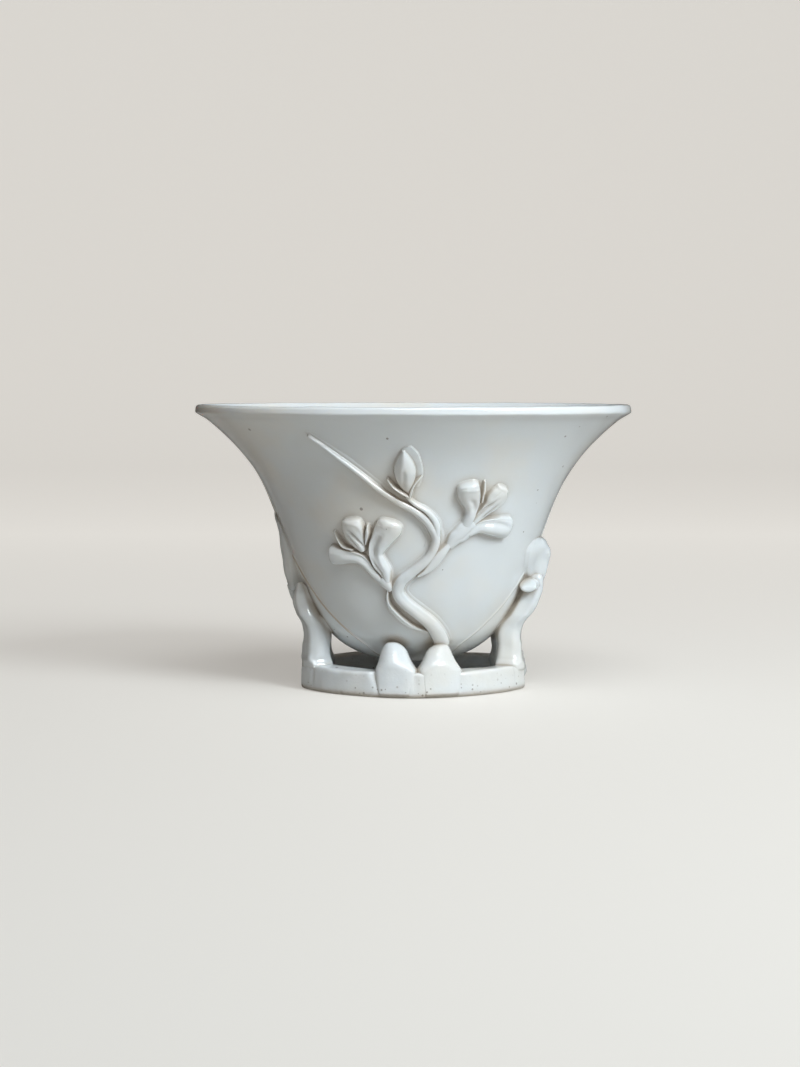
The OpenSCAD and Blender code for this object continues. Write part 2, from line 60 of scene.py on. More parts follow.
# Rows of a limb: turn from the front, rise share, lean share from the ring to the bowl,
# half width across the wall as a share, half width along the wall as a share
TRUNK_FRONT_LEFT = [
    [-72, 0, 0, 1, 1.25], [-72.5, 0.22, 0, 0.98, 1.15], [-74, 0.42, 0.3, 0.98, 1],
    [-76, 0.58, 1, 0.84, 0.88], [-76, 0.72, 1, 0.72, 0.72], [-74, 0.84, 1, 0.54, 0.48],
    [-73, 0.93, 1, 0.36, 0.26],
]
TRUNK_FRONT_RIGHT = [
    [73.5, 0, 0, 1, 1.12], [74, 0.22, 0, 0.96, 1.05], [75.5, 0.42, 0.3, 0.96, 0.98],
    [77.5, 0.58, 1, 0.92, 0.92], [79.5, 0.8, 1, 0.88, 0.88], [80, 0.98, 1, 0.72, 0.74],
    [80, 1.04, 1, 0.6, 0.6],
]
TRUNK_BACK_LEFT = [
    [-109, 0, 0, 1, 1.2], [-108, 0.2, 0.05, 0.88, 1.05], [-105, 0.4, 0.4, 0.82, 0.95],
    [-101, 0.6, 0.95, 0.78, 0.85], [-97, 0.76, 1, 0.74, 0.8], [-94, 0.88, 1, 0.66, 0.7],
]
TRUNK_BACK_RIGHT = [
    [108, 0, 0, 1.15, 1.2], [110, 0.16, 0.02, 1, 1.05], [112, 0.36, 0.3, 0.8, 0.9],
    [115, 0.6, 0.95, 0.74, 0.8], [118, 0.8, 1, 0.6, 0.66], [120, 0.92, 1, 0.4, 0.44],
]
STUB_ROW = [80, 0.95, 1, 0.74, 0.86]
# Levels of the side bud: rise above the trunk's top in trunk widths, turns of its front rim, outer rim
# and back, share of its full height off the bowl, share of its full hollow
SIDE_BUD = [
    [-0.25, 76, 81, 86, 0.75, 0], [-0.06, 74, 82, 90, 1, 0.1], [0.08, 71.5, 82, 91, 1.04, 0.4],
    [0.344, 68, 82, 91, 1.05, 0.6], [0.678, 65.5, 82, 90, 1, 0.65], [0.928, 64.5, 81.5, 89, 0.95, 0.55],
    [1.06, 64.8, 81.3, 88.5, 0.86, 0.34], [1.16, 65.5, 81, 87.5, 0.76, 0.12], [1.275, 67, 80.5, 86, 0.56, 0],
    [1.38, 69, 80.7, 85, 0.38, 0], [1.45, 72.5, 79.8, 83, 0.14, 0],
]
ROCK_FRONT_LEFT = [
    [-11.8, 0, 0, 0.62, 1], [-13, 0.26, 0.06, 0.57, 0.88], [-13.5, 0.45, 0.24, 0.52, 0.79],
    [-13.6, 0.6, 0.42, 0.47, 0.72],
]
ROCK_FRONT_RIGHT = [
    [16.8, 0, 0, 0.62, 1.08], [17, 0.24, 0.06, 0.57, 0.93], [17.2, 0.42, 0.24, 0.52, 0.82],
    [17.4, 0.56, 0.42, 0.47, 0.74],
]
ROCK_BACK_LEFT = [
    [-160, 0, 0, 0.6, 1.1], [-161, 0.34, 0.08, 0.54, 0.94], [-163, 0.58, 0.28, 0.49, 0.82],
    [-163.6, 0.764, 0.48, 0.44, 0.72],
]
ROCK_BACK_RIGHT = [
    [158, 0, 0, 0.6, 1.05], [159, 0.26, 0.07, 0.54, 0.9], [160, 0.44, 0.24, 0.49, 0.8],
    [160.3, 0.583, 0.42, 0.45, 0.72],
]

# Rows of a strip on the bowl: turn, height share of the cup, half width share, height off the bowl share
STEM_FOOT = [[19.8, 0.78, 1, 1.1], [15.3, 1.4, 0.98, 1.05]]
STEM = [
    [9, 0.262, 0.9, 1], [2.5, 0.295, 0.86, 1],
    [-4, 0.33, 0.85, 1], [-7.5, 0.366, 0.85, 0.95], [-6, 0.405, 0.77, 0.95], [-1, 0.437, 0.7, 0.9],
    [3.5, 0.465, 0.66, 0.9], [7, 0.493, 0.62, 0.85], [8.8, 0.524, 0.6, 0.85], [9.3, 0.555, 0.6, 0.85],
    [7.6, 0.587, 0.6, 0.8], [4.5, 0.622, 0.56, 0.75], [0, 0.653, 0.52, 0.7], [-5.5, 0.68, 0.48, 0.65],
    [-12.5, 0.725, 0.45, 0.72], [-18.5, 0.778, 0.4, 0.68], [-24, 0.83, 0.33, 0.62], [-31, 0.907, 0.2, 0.48],
]
LOOP_TWIG = [
    [-12.2, 0.378, 0.16, 0.6], [-12.8, 0.334, 0.32, 0.75], [-9.6, 0.298, 0.44, 0.8],
    [-6, 0.274, 0.46, 0.8], [-1.9, 0.254, 0.42, 0.75], [3, 0.241, 0.3, 0.65], [8.4, 0.23, 0.2, 0.5],
]
BUD_TWIG = [
    [-2.6, 0.7, 0.28, 0.6], [0.6, 0.674, 0.34, 0.66], [4.5, 0.653, 0.4, 0.72],
    [7.5, 0.627, 0.46, 0.8], [9.2, 0.598, 0.52, 0.82], [9.5, 0.563, 0.46, 0.8],
]
FLOWER_TWIG = [
    [2, 0.427, 0.26, 0.65], [4.9, 0.44, 0.42, 0.76], [7.3, 0.457, 0.62, 0.84], [9.4, 0.478, 0.72, 0.88],
    [11.7, 0.502, 0.68, 0.88], [14, 0.524, 0.5, 0.8], [15.8, 0.542, 0.36, 0.6],
]
BUD_HEART = [
    [-1.7, 0.718, 0.26, 0.7], [-2.3, 0.738, 0.56, 1.1], [-2.8, 0.766, 0.8, 1.4], [-2.9, 0.793, 0.88, 1.5],
    [-2.9, 0.818, 0.74, 1.35], [-3, 0.841, 0.45, 1.05], [-3.1, 0.856, 0.18, 0.7],
]
BUD_WRAP = [
    [0.3, 0.742, 0.4, 0.2], [0.5, 0.764, 0.55, 0.28], [0.3, 0.788, 0.63, 0.32], [-0.3, 0.815, 0.64, 0.34],
    [-1, 0.84, 0.6, 0.34], [-1.9, 0.858, 0.46, 0.3],
]
BUD_SEPAL_LEFT = [
    [-1.7, 0.703, 0.2, 1], [-3.6, 0.714, 0.21, 1.1], [-5.5, 0.726, 0.2, 1.1], [-7.4, 0.741, 0.18, 1],
    [-9, 0.762, 0.11, 0.7],
]
BUD_SEPAL_RIGHT = [
    [-1.5, 0.702, 0.2, 1], [-0.9, 0.725, 0.2, 1.1], [0.1, 0.746, 0.19, 1], [1.4, 0.761, 0.16, 0.85],
    [2.7, 0.772, 0.1, 0.5],
]
LEFT_NECK = [[-10.9, 0.38, 0.34, 0.8], [-12.6, 0.396, 0.44, 0.9], [-14.4, 0.415, 0.5, 0.9]]
LEFT_OUTER = [
    [-15, 0.408, 0.3, 0.85], [-18.8, 0.44, 0.4, 0.95], [-21.7, 0.47, 0.47, 1], [-24.6, 0.486, 0.54, 1.05],
    [-28.9, 0.492, 0.64, 1.1], [-33.9, 0.493, 0.77, 1.25], [-37.3, 0.495, 0.84, 1.3],
]
LEFT_SEPAL = [
    [-26.4, 0.517, 0.14, 1.15], [-29.6, 0.522, 0.15, 1.1], [-31.6, 0.53, 0.16, 1], [-32.9, 0.548, 0.15, 0.9],
    [-34.7, 0.576, 0.09, 0.6],
]
LEFT_UPPER = [
    [-22.2, 0.514, 0.3, 0.8], [-23.8, 0.54, 0.66, 1.05], [-24.8, 0.56, 0.86, 1.2], [-25.2, 0.581, 0.94, 1.3],
    [-25.4, 0.6, 0.92, 1.4], [-25.6, 0.612, 0.84, 1.4],
]
LEFT_MIDDLE = [
    [-20.4, 0.536, 0.12, 0.8], [-19.6, 0.56, 0.22, 1], [-18.9, 0.58, 0.24, 1.1], [-18.7, 0.6, 0.14, 0.85],
]
LEFT_CURLED = [
    [-12.2, 0.409, 0.3, 0.85], [-13.2, 0.443, 0.52, 1.05], [-15.2, 0.469, 0.6, 1.1], [-16.4, 0.501, 0.6, 1.1],
    [-15.4, 0.529, 0.74, 1.15], [-13.6, 0.552, 0.86, 1.2], [-11.8, 0.573, 0.98, 1.2], [-10.3, 0.59, 1.06, 1.2],
    [-9.8, 0.6, 1.04, 1.15],
]
RIGHT_NECK = [
    [15.4, 0.53, 0.4, 0.8], [17.6, 0.556, 0.62, 0.95], [19.8, 0.57, 0.74, 1], [22, 0.59, 0.74, 1],
    [24.1, 0.603, 0.6, 0.95],
]
RIGHT_CUPPED = [
    [21.6, 0.604, 0.46, 1], [22.4, 0.63, 0.46, 1.1], [22.6, 0.652, 0.52, 1.15], [22.2, 0.674, 0.7, 1.25],
    [21.2, 0.696, 0.86, 1.4], [20.2, 0.717, 0.94, 1.5], [19.6, 0.735, 0.9, 1.5],
]
RIGHT_MIDDLE = [
    [26.3, 0.68, 0.13, 0.7], [26.1, 0.704, 0.16, 0.75], [26, 0.725, 0.17, 0.75], [25.6, 0.75, 0.12, 0.5],
]
RIGHT_FOLDED = [
    [24.4, 0.607, 0.3, 0.8], [26.8, 0.632, 0.4, 0.9], [29.1, 0.655, 0.56, 1.05], [30.8, 0.672, 0.76, 1.2],
    [31.9, 0.69, 0.9, 1.3], [32.9, 0.709, 0.86, 1.3], [33.6, 0.722, 0.66, 1.15],
]
RIGHT_LOWER = [
    [23.2, 0.572, 0.36, 0.9], [26, 0.588, 0.5, 1.05], [28.9, 0.596, 0.66, 1.2], [32.8, 0.596, 0.82, 1.35],
    [36.9, 0.593, 0.92, 1.4], [40.8, 0.59, 0.94, 1.3],
]
PLUM_ROOT = [[-91, 0.2, 1, 1.15], [-87, 1.1, 1.42, 1]]
PLUM_BRANCH = [
    [-84.5, 0.475, 1.62, 0.76], [-84.5, 0.528, 1.52, 0.54], [-87, 0.567, 1.26, 0.36],
    [-96, 0.607, 0.9, 0.34], [-113, 0.636, 0.6, 0.48], [-130, 0.637, 0.5, 0.5],
    [-146, 0.625, 0.46, 0.46], [-160, 0.638, 0.42, 0.44],
    [-174, 0.682, 0.36, 0.4], [-186, 0.738, 0.28, 0.34], [-196, 0.8, 0.14, 0.22],
]
PLUM_TWIG_UP = [
    [-136.5, 0.642, 0.26, 0.4], [-138, 0.69, 0.24, 0.36], [-136, 0.73, 0.2, 0.3], [-137, 0.778, 0.16, 0.24],
]
PLUM_TWIG_DOWN = [
    [-175, 0.68, 0.26, 0.4], [-186, 0.645, 0.22, 0.34], [-195, 0.612, 0.2, 0.3], [-206, 0.595, 0.16, 0.24],
]
PLUM_BUD = [[0, -0.002, 0.36, 0.5], [0, 0.01, 0.72, 0.85], [0, 0.026, 0.76, 0.95], [0, 0.04, 0.34, 0.45]]
PLUM_BUD_PLACES = [[-137.5, 0.782], [-209, 0.571], [-200.5, 0.806]]
PLUM_BLOSSOM_PLACES = {
    "plum_blossom_side": [-128, 0.545], "plum_blossom_low": [-163, 0.545], "plum_blossom_high": [-156, 0.745],
}

# Upright nicks in the foot ring's face: turn, slant in degrees towards the top, depth and half width in degrees
RING_NICKS = (
    (-19.5, -3.5, 0.8, 2), (1.5, 0, 0.3, 3.4), (62, 0, 0.2, 1.2), (-60, 0, 0.25, 1.2), (26.5, 0, 0.25, 2),
)
# The lump on the ring's right end: turn, height, half width in degrees, half height and how far it stands out
RING_LUMP = (103, 4.1, 6.5, 1.9, 1.3)
# The seam leans forward by this much a height of the cup, below this share of it, up to this much, with the
# start rounded by the last number
SEAM_LEAN, SEAM_TOP, SEAM_MOST, SEAM_ROUND = 1.85, 0.6, 0.8, 0.08
# How deep a piece of the relief reaches under the glaze, so that its edge never shows a gap
RELIEF_ROOT = 0.6


def length_setting(name, description, default):
    """A setting that holds a length in metres."""
    return FloatProperty(name=name, description=description, default=default, unit="LENGTH")


def colour_setting(name, description, default):
    """A setting that holds a colour."""
    return FloatVectorProperty(
        name=name, description=description, default=default, subtype="COLOR", size=3, min=0, max=1)


class CupSizes(PropertyGroup):
    """Lengths that shape the cup"""

    rim_length: length_setting("Rim length", "Length of the rim from side to side", 0.118)
    rim_width: length_setting("Rim width", "Width of the rim from front to back", 0.094)
    height: length_setting("Height", "Height of the rim above the standing edge", 0.077)
    belly_length: length_setting("Belly length", "Length of the belly under the flare", 0.072)
    belly_width: length_setting("Belly width", "Width of the belly under the flare", 0.058)
    clearance: length_setting("Clearance", "Height of the bowl's underside above the standing edge", 0.007)
    wall: length_setting("Wall", "Thickness of the wall in the belly", 0.003)
    lip: length_setting("Lip", "Thickness of the rolled lip", 0.0022)
    ring_length: length_setting("Ring length", "Length of the foot ring", 0.061)
    ring_width: length_setting("Ring width", "Width of the foot ring", 0.05)
    ring_height: length_setting("Ring height", "Height of the foot ring", 0.0068)
    ring_wall: length_setting("Ring wall", "Thickness of the foot ring", 0.007)
    rock_rise: length_setting("Rock rise", "Rise of the rocks above the ring", 0.0072)
    rock_width: length_setting("Rock width", "Width of a rock at its foot", 0.0102)
    trunk_rise: length_setting("Trunk rise", "Rise of the trunks above the ring", 0.023)
    trunk_width: length_setting("Trunk width", "Width of a trunk at its root", 0.0072)
    stub_width: length_setting("Stub width", "Width of the cut stub", 0.0052)
    stub_reach: length_setting("Stub reach", "Reach of the cut stub", 0.0026)
    stem_width: length_setting("Stem width", "Width of the magnolia stem at its foot", 0.0042)
    stem_rise: length_setting("Stem rise", "Height of the magnolia stem off the bowl", 0.002)
    petal_width: length_setting("Petal width", "Width of a full petal", 0.0066)
    petal_rise: length_setting("Petal rise", "Height of a full petal off the bowl", 0.0018)
    branch_width: length_setting("Branch width", "Width of the plum branch at its root", 0.005)
    branch_rise: length_setting("Branch rise", "Height of the plum branch off the bowl", 0.0032)
    blossom_width: length_setting("Blossom width", "Width of a plum blossom", 0.0104)
    blossom_rise: length_setting("Blossom rise", "Height of a plum blossom off the bowl", 0.0016)


class CupGlaze(PropertyGroup):
    """Colours of the glaze and of the bare body"""

    milk: colour_setting("Milk white", "Main colour of the glaze", (0.83, 0.875, 0.895))
    ivory: colour_setting("Ivory", "Warmer tint in soft clouds over the glaze", (0.86, 0.85, 0.805))
    # Painted shade: the brown that the corners and creases of the relief are darkened towards
    pool: colour_setting("Painted_shade", "Darker tint in the corners of the relief", (0.46, 0.385, 0.3))
    slip: colour_setting("Slip", "Tint along the seam of the two moulded halves", (0.5, 0.36, 0.2))
    iron: colour_setting(
        "Iron", "Colour of the specks and of the grains near the standing edge", (0.13, 0.09, 0.055))
    body: colour_setting("Bare body", "Colour of the unglazed standing edge", (0.72, 0.67, 0.57))


class CupStage(PropertyGroup):
    """The floor and the lamps"""

    floor: colour_setting("Floor", "Colour of the floor and the backdrop", (0.74, 0.72, 0.68))
    key_power: FloatProperty(
        name="Key lamp", description="Power of the large lamp at the right", default=4.9, min=0, unit="POWER")
    fill_power: FloatProperty(
        name="Fill lamp", description="Power of the weak lamp at the left", default=0.05, min=0, unit="POWER")
    top_power: FloatProperty(
        name="Top lamp", description="Power of the soft lamp overhead", default=2.9, min=0, unit="POWER")


def unit(*parts):
    """The given components divided by their length."""
    size = np.sqrt(sum(p * p for p in parts))
    size = np.maximum(size, 1e-9)
    return [p / size for p in parts]


def ease(low, high, value):
    """Smooth step: 0 below low, 1 above high, and 3 t^2 - 2 t^3 between them."""
    t = np.clip((value - low) / (high - low), 0, 1)
    return t * t * (3 - 2 * t)


def soft_low(a, b, k):
    """The lower of two heights with the corner rounded: half of a + b - sqrt((a - b)^2 + k^2)."""
    return (a + b - np.sqrt((a - b) ** 2 + k * k)) / 2


def soft_high(a, b, k):
    """The higher of two heights with the corner rounded: half of a + b + sqrt((a - b)^2 + k^2)."""
    return (a + b + np.sqrt((a - b) ** 2 + k * k)) / 2


def cove(distance, radius):
    """Outward step of a hollow fillet: radius - sqrt(radius^2 - (radius - distance)^2), 0 past the radius."""
    left = radius - np.clip(distance, 0, radius)
    return radius - np.sqrt(np.maximum(radius * radius - left * left, 0))


def lumps(points, size, seed):
    """Soft unevenness, about -1 to 1: a quarter of the sum of seven sine waves in seeded directions."""
    dice = np.random.RandomState(seed)
    total = 0
    for _ in range(7):
        way = dice.normal(size=3)
        way /= np.linalg.norm(way) * size * dice.uniform(0.75, 1.4)
        total = total + np.sin(points @ way * 2 * math.pi + dice.uniform(0, 2 * math.pi))
    return total / 4


def spline(rows, u):
    """Rows on the smooth curve through the given rows, where u counts the rows (Catmull and Rom's cubic)."""
    i = np.clip(u.astype(int), 0, len(rows) - 2)
    f = (u - i)[:, None]
    a, b, c, d = rows[np.maximum(i - 1, 0)], rows[i], rows[i + 1], rows[np.minimum(i + 2, len(rows) - 1)]
    return b + f / 2 * ((c - a) + f * ((2 * a - 5 * b + 4 * c - d) + f * (3 * b - a - 3 * c + d)))


class Cup:
    """The outside of the bowl in millimetres.

    At a turn from the front and a height z a point is (A sin turn, -B cos turn, z). The half length A and the
    half width B are each the belly's half size times (1 - (1 - t)^p)^(1 / p), t being the share of the belly's
    height, plus what the lip adds times a power of the height above the flare's start.
    """

    belly_curve, belly_top, flare_curve, flare_start = 2.65, 0.94, 3.5, 0.235
    plan_curve, side_share = 1.18, 1.06
    lip_lean, slip, step = 51.0, 0.2, 0.15

    def __init__(self, sizes):
        for key in sizes.bl_rna.properties.keys():
            if key not in ("rna_type", "name"):
                setattr(self, key, getattr(sizes, key) / MM)
        reach = self.lip / 2 * (1 - math.cos(math.radians(self.lip_lean)))
        self.lip_length = self.rim_length / 2 - reach
        self.lip_width = self.rim_width / 2 - reach
        self.lip_z = self.height - self.lip / 2 * (1 + math.sin(math.radians(self.lip_lean)))
        self.belly_height = (self.height - self.clearance) * self.belly_top
        self.flare_z = self.height * self.flare_start

    def flare(self, z):
        return (np.maximum(z - self.flare_z, 0) / (self.lip_z - self.flare_z)) ** self.flare_curve

    def halves(self, z):
        """Half length and half width of the outside at a height."""
        t = np.clip((z - self.clearance) / self.belly_height, 1e-6, 1)
        belly = (1 - (1 - t) ** self.belly_curve) ** (1 / self.belly_curve)
        flare = self.flare(z)
        return (self.belly_length / 2 * belly + (self.lip_length - self.belly_length / 2) * flare,
                self.belly_width / 2 * belly + (self.lip_width - self.belly_width / 2) * flare)

    def slopes(self, z):
        """How fast the half length and the half width grow with the height, by central differences."""
        high, low = self.halves(z + self.step), self.halves(z - self.step)
        return (high[0] - low[0]) / (2 * self.step), (high[1] - low[1]) / (2 * self.step)

    def point(self, turn, z, off):
        """Points at a turn and a height, moved off along the outward normal."""
        a, b = self.halves(z)
        da, db = self.slopes(z)
        s, c = np.sin(np.radians(turn)), np.cos(np.radians(turn))
        nx, ny, nz = unit(s / a, -c / b, -(s * s * da / a + c * c * db / b))
        return np.stack([a * s + off * nx, -b * c + off * ny, z + off * nz], axis=-1)

    def per_mm(self, turn, z):
        """Degrees of turn and millimetres of height that move a point one millimetre over the surface."""
        a, b = self.halves(z)
        da, db = self.slopes(z)
        s, c = np.sin(np.radians(turn)), np.cos(np.radians(turn))
        return 180 / math.pi / np.hypot(a * c, b * s), 1 / np.sqrt((da * s) ** 2 + (db * c) ** 2 + 1)

    def gap(self, p):
        """Distance of points from the glaze, below 0 inside, and the outward direction: (q - 1) / |grad q|."""
        x, y, z = p[..., 0], p[..., 1], p[..., 2]
        a, b = self.halves(z)
        da, db = self.slopes(z)
        q = np.maximum(np.hypot(x / a, y / b), 1e-6)
        gx, gy = x / (a * a * q), y / (b * b * q)
        gz = -(x * x * da / a ** 3 + y * y * db / b ** 3) / q
        size = np.sqrt(gx * gx + gy * gy + gz * gz)
        return (q - 1) / size, np.stack([gx / size, gy / size, gz / size], axis=-1)

    def seam_turn(self, z):
        """Turn of the seam between the two moulded halves, which leans forward towards the bottom."""
        forward = soft_high(SEAM_LEAN * (SEAM_TOP - z / self.height), 0, SEAM_ROUND)
        return np.degrees(np.arccos(np.clip(forward, 0, SEAM_MOST)))

    def ring_plan(self, turn, inset):
        """Plan of the foot ring: an oval with flattened ends, moved in from its outer edge."""
        s, c = np.sin(np.radians(turn)), np.cos(np.radians(turn))
        side = np.minimum(1, self.side_share * np.abs(s) ** self.plan_curve)
        return (np.sign(s) * side * (self.ring_length / 2 - inset),
                -np.sign(c) * np.abs(c) ** self.plan_curve * (self.ring_width / 2 - inset))

    def above(self, limb, rise, rows, width):
        """Rows that rise above a limb's top by shares of a width, as rows with height shares of the cup."""
        top = self.ring_height + self.slip + limb[-1][1] * rise
        return [[row[0], (top + row[1] * width) / self.height, row[2], row[3]] for row in rows]


def skin(name, grid, slot, nodes, hoop=False):
    """A closed mesh from a grid of points, rings by places on a ring, with its poles merged.

    Neighbouring rings are joined by four-sided faces; with hoop the last ring joins the first. The piece has
    the glaze of its slot, and stands for the given nodes.
    """
    rings, places = grid.shape[:2]
    number = np.arange(rings * places).reshape(rings, places)
    nxt = np.roll(number, -1, axis=1)
    if hoop:
        up, up_nxt = np.roll(number, -1, axis=0), np.roll(nxt, -1, axis=0)
    else:
        number, nxt, up, up_nxt = number[:-1], nxt[:-1], number[1:], nxt[1:]
    faces = np.stack([number, nxt, up_nxt, up], axis=-1).reshape(-1, 4)
    mesh = bpy.data.meshes.new(name)
    mesh.from_pydata((grid.reshape(-1, 3) * MM).tolist(), [], faces.tolist())
    work = bmesh.new()
    work.from_mesh(mesh)
    bmesh.ops.remove_doubles(work, verts=work.verts, dist=2e-7)
    bmesh.ops.recalc_face_normals(work, faces=work.faces)
    for face in work.faces:
        face.smooth = True
    work.to_mesh(mesh)
    work.free()
    mesh.materials.append(GLAZES[slot]())
    piece = bpy.data.objects.new(name, mesh)
    bpy.context.scene.collection.objects.link(piece)
    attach(piece, "root")
    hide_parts(*nodes)
    return piece


def middle_line(cup, rows, step=0.2):
    """The rows of a strip, evenly spaced a step apart over the bowl, and how far along each one is."""
    rows = np.asarray(rows, float)
    u = np.linspace(0, len(rows) - 1, 80 * len(rows))
    dense = spline(rows, u)
    per_turn, per_rise = cup.per_mm(dense[:, 0], dense[:, 1])
    steps = np.hypot(np.diff(dense[:, 0]) / per_turn[1:], np.diff(dense[:, 1]) / per_rise[1:])
    length = np.concatenate([[0], np.cumsum(steps)])
    even = np.linspace(0, length[-1], max(14, int(length[-1] / step)))
    return spline(rows, np.interp(even, length, u)), even


def pressed(cup, turn, z, reach, height, ledge=0.0):
    """Rings of points on the bowl at a turn and height, off it by the height of the relief.

    The wall of the relief falls steeply past its outline, ends in a hollow fillet on a thin ledge of slip, and
    dives under the glaze. reach is the distance outside the outline, below 0 inside it.
    """
    steepness, shoulder, corner, fillet, dive = 3.6, 0.1, 0.14, 0.18, 0.07
    wall = steepness * (shoulder - reach)
    slip = ledge * (1 - ease(0.7, 1.2, reach))
    dive_end = 0.6 + 0.7 * (ledge > 0)
    off = soft_high(soft_low(height, wall, corner), slip, fillet) - dive * ease(0.12, dive_end, reach)
    return cup.point(turn, z, off)


def strip(cup, rows, half, thick, marks=(), body=0.5, dome=2.6, ends=(0.6, 0.5), ledge=0.0, wobble=0.05,
          seed=1):
    """A strip of relief that follows a line of rows over the bowl, as a grid of rings.

    The rings go from the middle line out to the outline, round both ends, and past it over a narrow skirt.
    The height is thick * (body + (1 - body) * (1 - share^dome)), share being the way from the middle line to
    the outline. Each mark adds amount * exp(-(distance / width)^2) along a curve given as (length share,
    side share) places. The ends are blunt ovals as long as their shares of the half width, and the ledge of
    slip lies along the right side.
    """
    rows = [[r[0], r[1] * cup.height, r[2] * half, r[3] * thick] for r in rows]
    rows, along = middle_line(cup, rows)
    turn, z, wide, high = rows.T
    per_turn, per_rise = cup.per_mm(turn, z)
    way = np.stack(unit(np.gradient(turn) / per_turn, np.gradient(z) / per_rise))
    count = len(rows)
    cap = np.radians(np.linspace(-90, 90, 19)[1:-1])
    index = np.concatenate([
        np.arange(count), np.full(len(cap), count - 1), np.arange(count)[::-1], np.zeros(len(cap), int)])
    blunt_side, blunt_front = np.sign(cap) * np.abs(np.sin(cap)) ** 0.86, np.cos(cap) ** 0.86
    across = np.concatenate([-np.ones(count), blunt_side, np.ones(count), -blunt_side])
    ahead = np.concatenate([np.zeros(count), ends[1] * blunt_front, np.zeros(count), -ends[0] * blunt_front])
    squeeze = np.concatenate([np.ones(count), 1 - (1 - ends[1]) * blunt_front, np.ones(count),
                              1 - (1 - ends[0]) * blunt_front])
    rings = max(12, int(wide.max() / 0.13))
    share = (1 - (1 - np.linspace(0, 1, rings)) ** 1.4)[:, None]
    w, t, a, b = wide[index], high[index], way[0][index], way[1][index]
    side, front = across * w * share, ahead * w * share
    run, climb = side * b + front * a, -side * a + front * b
    grid_turn = turn[index] + run * per_turn[index]
    grid_z = z[index] + climb * per_rise[index]
    reach = (share - 1) * w * squeeze
    out_turn = (np.roll(grid_turn[-1], -1) - np.roll(grid_turn[-1], 1)) / per_turn[index]
    out_rise = (np.roll(grid_z[-1], -1) - np.roll(grid_z[-1], 1)) / per_rise[index]
    tx, tz = unit(out_turn, out_rise)
    skirt = np.array([0.05, 0.1, 0.15, 0.21, 0.28, 0.36, 0.46, 0.6, 0.75, 0.92, 1.1, 1.3])
    skirt = skirt[:None if ledge else -4, None]
    grid_turn = np.concatenate([grid_turn, grid_turn[-1] - tz * skirt * per_turn[index]])
    grid_z = np.concatenate([grid_z, grid_z[-1] + tx * skirt * per_rise[index]])
    reach = np.concatenate([reach, skirt + 0 * w])
    share = np.concatenate([share, np.ones_like(skirt)])
    side = np.concatenate([side, np.repeat(side[-1:], len(skirt), axis=0)])
    front = np.concatenate([front, np.repeat(front[-1:], len(skirt), axis=0)])
    height = t * (body + (1 - body) * (1 - share ** dome))
    here = along[index] + front
    for amount, width, places in marks:
        samples = max(40, int(abs(places[-1][0] - places[0][0]) * along[-1] / (0.4 * width)))
        line = spline(np.array(places, float), np.linspace(0, len(places) - 1, samples))
        line_along = line[:, 0] * along[-1]
        line_side = line[:, 1] * np.interp(line_along, along, wide)
        d2 = (here[..., None] - line_along) ** 2 + (side[..., None] - line_side) ** 2
        near = d2.argmin(axis=-1) / (samples - 1)
        taper = 0.3 + 0.7 * ease(0, 0.3, near) * ease(0, 0.3, 1 - near)
        height = height + amount * taper * np.exp(-d2.min(axis=-1) / width ** 2)
    height = height + wobble * lumps(cup.point(grid_turn, grid_z, 0), 3.2, seed) * np.minimum(1, t)
    top = pressed(cup, grid_turn, grid_z, reach, height, ledge * (across > 0))
    under = cup.point(grid_turn[[-1, 0]], grid_z[[-1, 0]], -RELIEF_ROOT)
    return np.concatenate([top, under])


